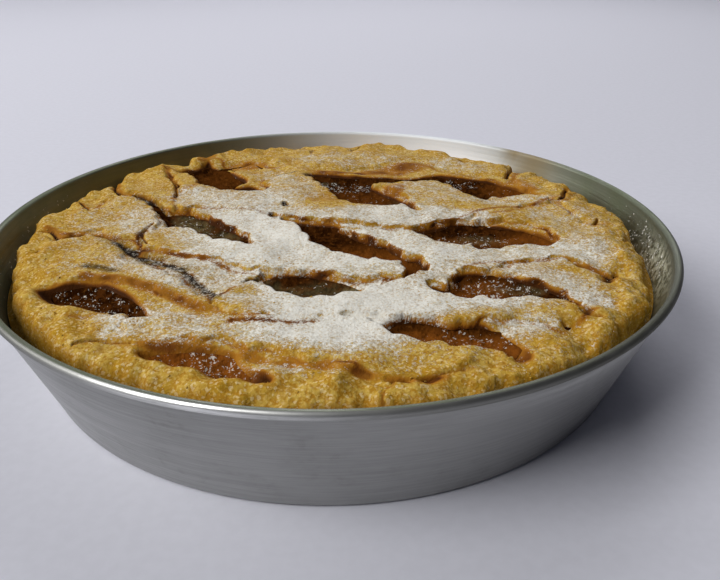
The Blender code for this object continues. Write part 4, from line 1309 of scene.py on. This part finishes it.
def paint_tin(mesh):
    """Film, a painted reflection, dust, a painted highlight, a matt rim with painted shade, stains
    and sugar, each on its own stretch.

    Heights on the rim are measured down from its top.
    """
    look = settings("tin")
    x, y, z = points_of(mesh).T
    radius = np.hypot(x, y)
    bearing = np.degrees(np.arctan2(y, x))
    inside = (radius < np.vectorize(wall_radius)(z) - 0.5 * look.sheet) & (z > 0.01)
    inside |= (radius < RIM_RADIUS - 1.7 * look.bead) & (z > TIN_HEIGHT - 0.004)
    rim = smooth_step(z, TIN_HEIGHT - 0.0042, TIN_HEIGHT - 0.0026) * (radius > RIM_RADIUS - 0.0036)
    below = smooth_step(-z, 0.0032 - TIN_HEIGHT, 0.0045 - TIN_HEIGHT)
    # painted reflection of the key light on the inner back wall, with no film there
    off = np.abs(bearing - REFLECTION_MIDDLE)
    painted_reflection = np.exp(-(off / np.where(bearing < REFLECTION_MIDDLE, REFLECTION_BEFORE, REFLECTION_AFTER)) ** 2.5)
    shaded, highlit = around(bearing, SHADED_RIM), around(bearing, HIGHLIT_RIM)
    shaded_left = around(bearing, SHADED_LEFT_RIM)
    paint(mesh, "film", inside * (1 - painted_reflection) * (1 - 0.85 * rim * shaded))
    paint(mesh, "painted_reflection", inside * painted_reflection)
    paint(mesh, "dust", 0.85 * inside * below * around(bearing, DUSTY_WALL))
    # painted highlight on the rim's front; the rest of the rim is matt, with painted shade, darkest
    # on the right and far left
    paint(mesh, "painted_highlight", rim * (0.1 + 0.9 * highlit))
    paint(mesh, "matt_and_shade", rim * (1 - highlit) * (0.42 + 0.58 * shaded + 0.35 * shaded_left))
    top = smooth_step(z, TIN_HEIGHT - 0.004, TIN_HEIGHT - 0.001)
    back_rim = around(bearing, BROWN_RIM) * top * (radius < RIM_RADIUS - 0.0004)
    back_wall = 0.85 * inside * around(bearing, BROWN_WALL)
    paint(mesh, "stain", 0.85 * np.maximum(back_rim, back_wall))
    right = around(bearing, SUGARED_WALL)
    left = around(np.abs(bearing), SUGARED_LEFT)
    paint(mesh, "sugar", 0.32 * inside * (right + 0.35 * left) * (z < TIN_HEIGHT - 0.002))


# --- Pastry ---


def halve_steep_cells(mesh, cells, slope):
    """Gives steps and cut edges twice as fine a mesh, and lays the new points on the lid."""
    wide = cells + 1
    index = np.arange(wide * wide).reshape(wide, wide)
    inner = set(index[2:-2, 2:-2].ravel().tolist())
    solid = bmesh.new()
    solid.from_mesh(mesh)
    steep = set()
    for face in solid.faces:
        rises = (abs(edge.verts[0].co.z - edge.verts[1].co.z) / edge.calc_length()
                 for edge in face.edges)
        if all(vert.index in inner for vert in face.verts) and max(rises) > slope:
            steep.update(face.edges)
    bmesh.ops.subdivide_edges(solid, edges=list(steep), cuts=1, use_grid_fill=True)
    solid.to_mesh(mesh)
    solid.free()
    places = points_of(mesh)
    new = np.arange(len(places)) >= wide * wide
    new &= (np.hypot(places[:, 0], places[:, 1]) < EDGE_RADIUS) & (places[:, 2] > FILL_TOP - 0.004)
    places[new, 2] = Lid(places[new, 0], places[new, 1]).height()
    mesh.vertices.foreach_set("co", places.astype(np.float32).ravel())
    mesh.update()


def make_pastry():
    """Case, border and lattice as one fine closed solid, cut out where the filling lies."""
    look = settings("pastry")
    u, v = disc_grid(look.cells)
    edge = edge_radius(np.arctan2(v, u))
    x, y = u * edge, v * edge
    floor = settings("tin").sheet + LAYER_GAP
    corner = FOOT_ROUND
    seat = inner_wall(SEAT_TOP)
    rings = ((0.5 * (seat + EDGE_RADIUS), SEAT_TOP + SEAT_SLOPE), (seat, SEAT_TOP),
             (inner_wall(corner + floor), corner + floor), (inner_wall(floor) - corner, floor))
    material = pastry_material()
    item = show("pastry", closed_body("pastry", x, y, Lid(x, y).height(), rings), material)
    halve_steep_cells(item.data, look.cells, look.steep)
    hollow = show("hollow", filling_mesh("hollow", HOLLOW_CELLS, HOLLOW_PLAY), material)
    cut = item.modifiers.new("room for filling", "BOOLEAN")
    cut.operation = "DIFFERENCE"
    cut.solver = "MANIFOLD"
    cut.object = hollow
    baked(item)
    bpy.data.objects.remove(hollow, do_unlink=True)
    keep_main_body(item)
    item.data.shade_smooth()
    item.data.set_sharp_from_angle(angle=math.radians(PASTRY_CREASE))
    paint_pastry(item.data)
    finish_piece(item, "crust")


def crack_shade_at(x, y):
    """How dark the cracks and small holes are painted, as shade in them, 0 to 1."""
    cracks = streaks(x, y, [(0.8 * half, min(1.0, 0.55 * depth), points)
                            for half, depth, points in CRACKS])
    for px, py, radius, depth in PITS:
        cracks = np.maximum(cracks, min(1.0, 0.45 * depth) * dent(x, y, px, py, radius))
    return cracks


def browning_and_shade(lid, cracks, snowed):
    """Browning of edges, baked patches and the outer edge; painted shade on low slopes and cracks;
    0 to 1.
    """
    x, y, inward = lid.x, lid.y, -lid.from_edge
    edges = lid.brown_and_shade * (1 - snowed) * (1 - smooth_step(inward, -0.012, -0.006))
    # painted shade: the lower the pastry lies towards the filling, the darker, less so where the
    # filling is lit
    low = (1 - smooth_step(lid.laid / lid.sheet, 0.45, 1.05)) * (1 - 0.5 * ovals(x, y, LIT_FILLING))
    patches = np.maximum(streaks(x, y, BAKED_EDGES), ovals(x, y, BAKED_PATCHES))
    patches = patches * (0.85 + 0.5 * noise_at(x, y, 0.006, 5.9))
    outside = 0.2 * smooth_step(inward, -0.004, -0.0005)
    return np.maximum.reduce((edges, low, patches, 0.85 * cracks, outside))


def sugar_at(x, y):
    """How much icing sugar fell at each place, 0 to 1."""
    amount = np.maximum(0.16, ovals(x, y, SUGAR)) * (1 - ovals(x, y, BARE))
    amount += 0.07 * noise_at(x, y, 0.011, 2.4)
    right = near_bearing(x, y, SUGARED_SIDE, 0.3, 0.95)
    reach = 1 - smooth_step(np.hypot(x, y), 0.108, 0.121) * (1 - 0.45 * right)
    return amount * np.maximum(reach, ovals(x, y, SNOWED_OVER))


def paint_pastry(mesh):
    """Browning and painted shade, burns, and icing sugar, which catches on what faces up and a
    little back.
    """
    normal = normals_of(mesh)
    x, y, z = points_of(mesh).T
    lid = Lid(x, y)
    cracks, burns, snowed = crack_shade_at(x, y), streaks(x, y, BURNS), ovals(x, y, SNOWED_OVER)
    steep = 1 - smooth_step(normal[:, 2], 0.45, 0.85)
    brown_and_shade = np.maximum(browning_and_shade(lid, cracks, snowed), 0.22 * steep * (z > SEAT_TOP))
    paint(mesh, "brown_and_shade", brown_and_shade)
    char = 1.3 * burns * (1 + 0.9 * noise_at(x, y, 0.0032, 7.7))
    # painted shade in cracks and holes joins the burns
    paint(mesh, "burnt_and_crack_shade", np.maximum(cracks ** 2, char))
    facing = normal @ np.array(SUGAR_FROM)
    catches = np.maximum(np.maximum(0.3, smooth_step(facing, 0.45, 0.72)), snowed)
    sugar = sugar_at(x, y) * catches * (1 - 0.8 * cracks) * (1 - 0.8 * smooth_step(brown_and_shade, 0.3, 0.8))
    paint(mesh, "sugar", sugar * (1 - 0.85 * burns) + 0.2 * burns)


# --- Filling ---


def make_filling():
    """Grain filling with wheat kernels showing in its skin."""
    cells = settings("filling").cells
    item = show("grain_filling", filling_mesh("grain_filling", cells), filling_material())
    mesh = item.data
    mesh.shade_smooth()
    mesh.set_sharp_from_angle(angle=math.radians(FILLING_CREASE))
    x, y, _ = points_of(mesh).T
    # painted light: where the filling is lit
    paint(mesh, "caramel", ovals(x, y, LIT_FILLING))
    paint(mesh, "damp", ovals(x, y, DAMP_SUGAR))
    fallen = np.maximum(0.3 * ovals(x, y, DAMP_SUGAR), ovals(x, y, SPECKS))
    paint(mesh, "sugar", fallen * (1 + 0.5 * noise_at(x, y, 0.009, 3.9)))
    finish_piece(item, "filling")


# --- Icing sugar and crumbs ---


def scatter_tree(name, sides, rings):
    """Tree that strews small rough lumps where a painted amount allows, and keeps only those."""
    tree = Tree(name, (("Density", "Float"), ("Size", "Float"), ("Seed", "Int"),
                       ("Material", "Material")))
    whole, seed = tree.start["Geometry"], tree.start["Seed"]
    amount = tree.add("GeometryNodeInputNamedAttribute", {"Name": "strewn"}, data_type="FLOAT")
    thick = tree.add("ShaderNodeMath", {0: amount.outputs[0], 1: tree.start["Density"]},
                     operation="MULTIPLY")
    spots = tree.add("GeometryNodeDistributePointsOnFaces",
                     {"Mesh": whole, "Density": thick.outputs[0], "Seed": seed})
    lump = tree.add("GeometryNodeMeshUVSphere", {"Segments": sides, "Rings": rings, "Radius": 0.5})
    sizes = tree.add("FunctionNodeRandomValue", {"Seed": seed}, data_type="FLOAT_VECTOR")
    sizes.inputs["Min"].default_value = (0.5, 0.5, 0.35)
    sizes.inputs["Max"].default_value = (1.5, 1.2, 1.0)
    scale = tree.add("ShaderNodeVectorMath", {0: sizes.outputs[0], "Scale": tree.start["Size"]},
                     operation="SCALE")
    turn = tree.add("FunctionNodeRandomValue", {"Seed": seed}, data_type="FLOAT_VECTOR")
    turn.inputs["Max"].default_value = (math.tau,) * 3
    placed = tree.add("GeometryNodeInstanceOnPoints",
                      {"Points": spots.outputs["Points"], "Instance": lump.outputs["Mesh"],
                       "Rotation": turn.outputs[0], "Scale": scale.outputs[0]})
    tree.close(placed.outputs[0], tree.start["Material"])
    return tree


def strew(name, tree, over, amount, values, material):
    """Makes a piece of small lumps lying on another piece's surface."""
    mesh = over.data.copy()
    mesh.name = name
    paint(mesh, "strewn", amount)
    item = show(name, mesh, material)
    tree.grow_on(item, {**values, "Material": material})
    painted = ("sugar", "brown_and_shade", "burnt_and_crack_shade", "strewn")
    for layer in [a.name for a in item.data.attributes if a.name in painted]:
        item.data.attributes.remove(item.data.attributes[layer])
    finish_piece(item)


def upward(mesh):
    """1 where a surface faces up, 0 where it is steep."""
    return smooth_step(normals_of(mesh)[:, 2], 0.2, 0.6)


def bare_filling(mesh):
    """1 where the filling shows between the strips."""
    x, y, _ = points_of(mesh).T
    return (Lid(x, y).raised < BARE_BELOW).astype(float)


def make_sugar(pastry, filling, tin):
    """Clumps of icing sugar on the pastry, on the filling and on the tin's inner wall."""
    look = settings("sugar")
    material = sugar_material()
    tree = scatter_tree("strewn icing sugar", sides=4, rings=2)
    on_pastry, on_filling, on_tin = (values_at(over.data, "sugar")
                                     for over in (pastry, filling, tin))
    on_pastry = (0.03 + 0.97 * on_pastry ** 1.5) * upward(pastry.data)
    on_filling = on_filling * upward(filling.data) * bare_filling(filling.data)
    for name, over, amount, density in (
            ("sugar_on_pastry", pastry, on_pastry, look.on_pastry),
            ("sugar_on_filling", filling, on_filling, look.on_filling),
            ("sugar_on_tin", tin, 0.35 * on_tin, look.on_filling)):
        values = {"Density": float(density), "Size": look.grain, "Seed": look.seed}
        strew(name, tree, over, amount, values, material)


def make_crumbs(pastry):
    """Loose crumbs of pastry, most of them near the edge."""
    look = settings("crumb")
    x, y, _ = points_of(pastry.data).T
    amount = upward(pastry.data) * (0.12 + smooth_step(np.hypot(x, y), 0.095, 0.118))
    values = {"Density": float(look.density), "Size": look.size, "Seed": look.seed}
    tree = scatter_tree("strewn crumbs", sides=5, rings=4)
    strew("crumbs", tree, pastry, amount, values, crumb_material())


# --- Stage ---


def make_floor():
    """Paper sweep: flat under the tin, curving up far behind it."""
    look = settings("stage")
    shade = Shade("paper")
    fibres = shade.step(shade.noise(0.004, 3.0), 0.3, 0.7)
    colour = shade.mix(fibres, look.floor, shaded_by(0.97, look.floor))
    material = shade.use(Base_Color=colour, Roughness=0.9)
    section = [(SWEEP_FRONT, 0.0), (SWEEP_BACK - SWEEP_BEND, 0.0)]
    section += arc(SWEEP_BACK - SWEEP_BEND, SWEEP_BEND, SWEEP_BEND, -90, 0, 12)
    section.append((SWEEP_BACK, SWEEP_TOP))
    points = [(side, y, z) for y, z in section for side in (-SWEEP_SIDE, SWEEP_SIDE)]
    faces = [(2 * k, 2 * k + 1, 2 * k + 3, 2 * k + 2) for k in range(len(section) - 1)]
    mesh = bpy.data.meshes.new("paper_sweep")
    mesh.from_pydata(points, [], faces)
    mesh.shade_smooth()
    show("paper_sweep", mesh, material)


def add_light(name, bearing, height, distance, size, power):
    """Soft square light that faces the tart; bearing and height in degrees as seen from it."""
    turn, up = math.radians(bearing), math.radians(height)
    away = Vector((math.cos(turn) * math.cos(up), math.sin(turn) * math.cos(up), math.sin(up)))
    light = bpy.data.lights.new(name, "AREA")
    light.shape = "SQUARE"
    light.size = size
    light.energy = power
    item = bpy.data.objects.new(name, light)
    bpy.context.scene.collection.objects.link(item)
    item.location = away * distance
    item.rotation_euler = away.to_track_quat("Z", "Y").to_euler()


def make_lights():
    """Three soft lights and a dim room, shown without tone mapping."""
    look = settings("stage")
    add_light("key", bearing=210, height=42, distance=3.0, size=1.8, power=look.key)
    add_light("back", bearing=80, height=45, distance=2.2, size=1.3, power=look.back)
    add_light("side", bearing=165, height=22, distance=3.0, size=1.5, power=look.side)
    world = bpy.data.worlds.new("room")
    world.use_nodes = True
    background = world.node_tree.nodes["Background"]
    background.inputs["Color"].default_value = ROOM_AIR
    background.inputs["Strength"].default_value = look.room
    bpy.context.scene.world = world
    bpy.context.scene.view_settings.view_transform = "Standard"


def make_camera():
    """Camera at the photograph's angle, its distance worked out from the tin's rim."""
    look = settings("stage")
    distance = CAMERA_AWAY * RIM_RADIUS
    target = Vector((AIM_RIGHT * RIM_RADIUS, AIM_BEHIND * RIM_RADIUS, 0.0))
    ahead = Vector((0, math.cos(look.pitch), -math.sin(look.pitch)))
    turn = Matrix.Rotation(look.roll, 3, -ahead)
    right = turn @ Vector((1, 0, 0))
    up = right.cross(ahead)
    camera = bpy.data.cameras.new("camera")
    camera.sensor_width = SENSOR
    camera.lens = look.focal
    camera.clip_start = 0.01
    item = bpy.data.objects.new("camera", camera)
    bpy.context.scene.collection.objects.link(item)
    place = Matrix((right, up, -ahead)).transposed().to_4x4()
    place.translation = target - ahead * distance
    item.matrix_world = place
    bpy.context.scene.camera = item


# --- Operators and panel ---


class PASTIERA_OT_tin(bpy.types.Operator):
    """Turn the aluminium tin"""
    bl_idname = "pastiera.tin"
    bl_label = "Tin"

    def execute(self, context):
        make_tin()
        return {"FINISHED"}


class PASTIERA_OT_pastry(bpy.types.Operator):
    """Lay the case, the border and the lattice"""
    bl_idname = "pastiera.pastry"
    bl_label = "Pastry"

    def execute(self, context):
        make_pastry()
        return {"FINISHED"}


class PASTIERA_OT_filling(bpy.types.Operator):
    """Fill the case with grain filling"""
    bl_idname = "pastiera.filling"
    bl_label = "Filling"

    def execute(self, context):
        make_filling()
        return {"FINISHED"}


class PASTIERA_OT_sugar(bpy.types.Operator):
    """Dust pastry, filling and tin with icing sugar"""
    bl_idname = "pastiera.sugar"
    bl_label = "Icing sugar"

    def execute(self, context):
        made = bpy.data.objects
        make_sugar(made["pastry"], made["grain_filling"], made["tin_shell"])
        return {"FINISHED"}


class PASTIERA_OT_crumbs(bpy.types.Operator):
    """Strew crumbs of pastry"""
    bl_idname = "pastiera.crumbs"
    bl_label = "Crumbs"

    def execute(self, context):
        make_crumbs(bpy.data.objects["pastry"])
        return {"FINISHED"}


class PASTIERA_OT_stage(bpy.types.Operator):
    """Set the floor, the lights and the camera"""
    bl_idname = "pastiera.stage"
    bl_label = "Stage"

    def execute(self, context):
        make_floor()
        make_lights()
        make_camera()
        return {"FINISHED"}


class PASTIERA_PT_panel(bpy.types.Panel):
    """Lists the steps and their settings"""
    bl_idname = "PASTIERA_PT_panel"
    bl_label = "Pastiera"
    bl_space_type = "VIEW_3D"
    bl_region_type = "UI"
    bl_category = "Pastiera"

    def draw(self, context):
        for name, operator in STEPS:
            box = self.layout.box()
            box.operator(operator.bl_idname)
            if name in SETTINGS:
                group = getattr(context.scene, "pastiera_" + name)
                for key in group.__annotations__:
                    box.prop(group, key)


STEPS = (("tin", PASTIERA_OT_tin), ("pastry", PASTIERA_OT_pastry), ("filling", PASTIERA_OT_filling),
         ("sugar", PASTIERA_OT_sugar), ("crumb", PASTIERA_OT_crumbs), ("stage", PASTIERA_OT_stage))
CLASSES = tuple(SETTINGS.values()) + tuple(operator for _, operator in STEPS) + (PASTIERA_PT_panel,)


def register():
    for item in CLASSES:
        bpy.utils.register_class(item)
    for name, group in SETTINGS.items():
        setattr(bpy.types.Scene, "pastiera_" + name, bpy.props.PointerProperty(type=group))


def unregister():
    for name in SETTINGS:
        delattr(bpy.types.Scene, "pastiera_" + name)
    for item in reversed(CLASSES):
        bpy.utils.unregister_class(item)


def main():
    register()
    bpy.ops.pastiera.tin()
    bpy.ops.pastiera.pastry()
    bpy.ops.pastiera.filling()
    bpy.ops.pastiera.sugar()
    bpy.ops.pastiera.crumbs()
    bpy.ops.pastiera.stage()


if __name__ == "__main__":
    main()
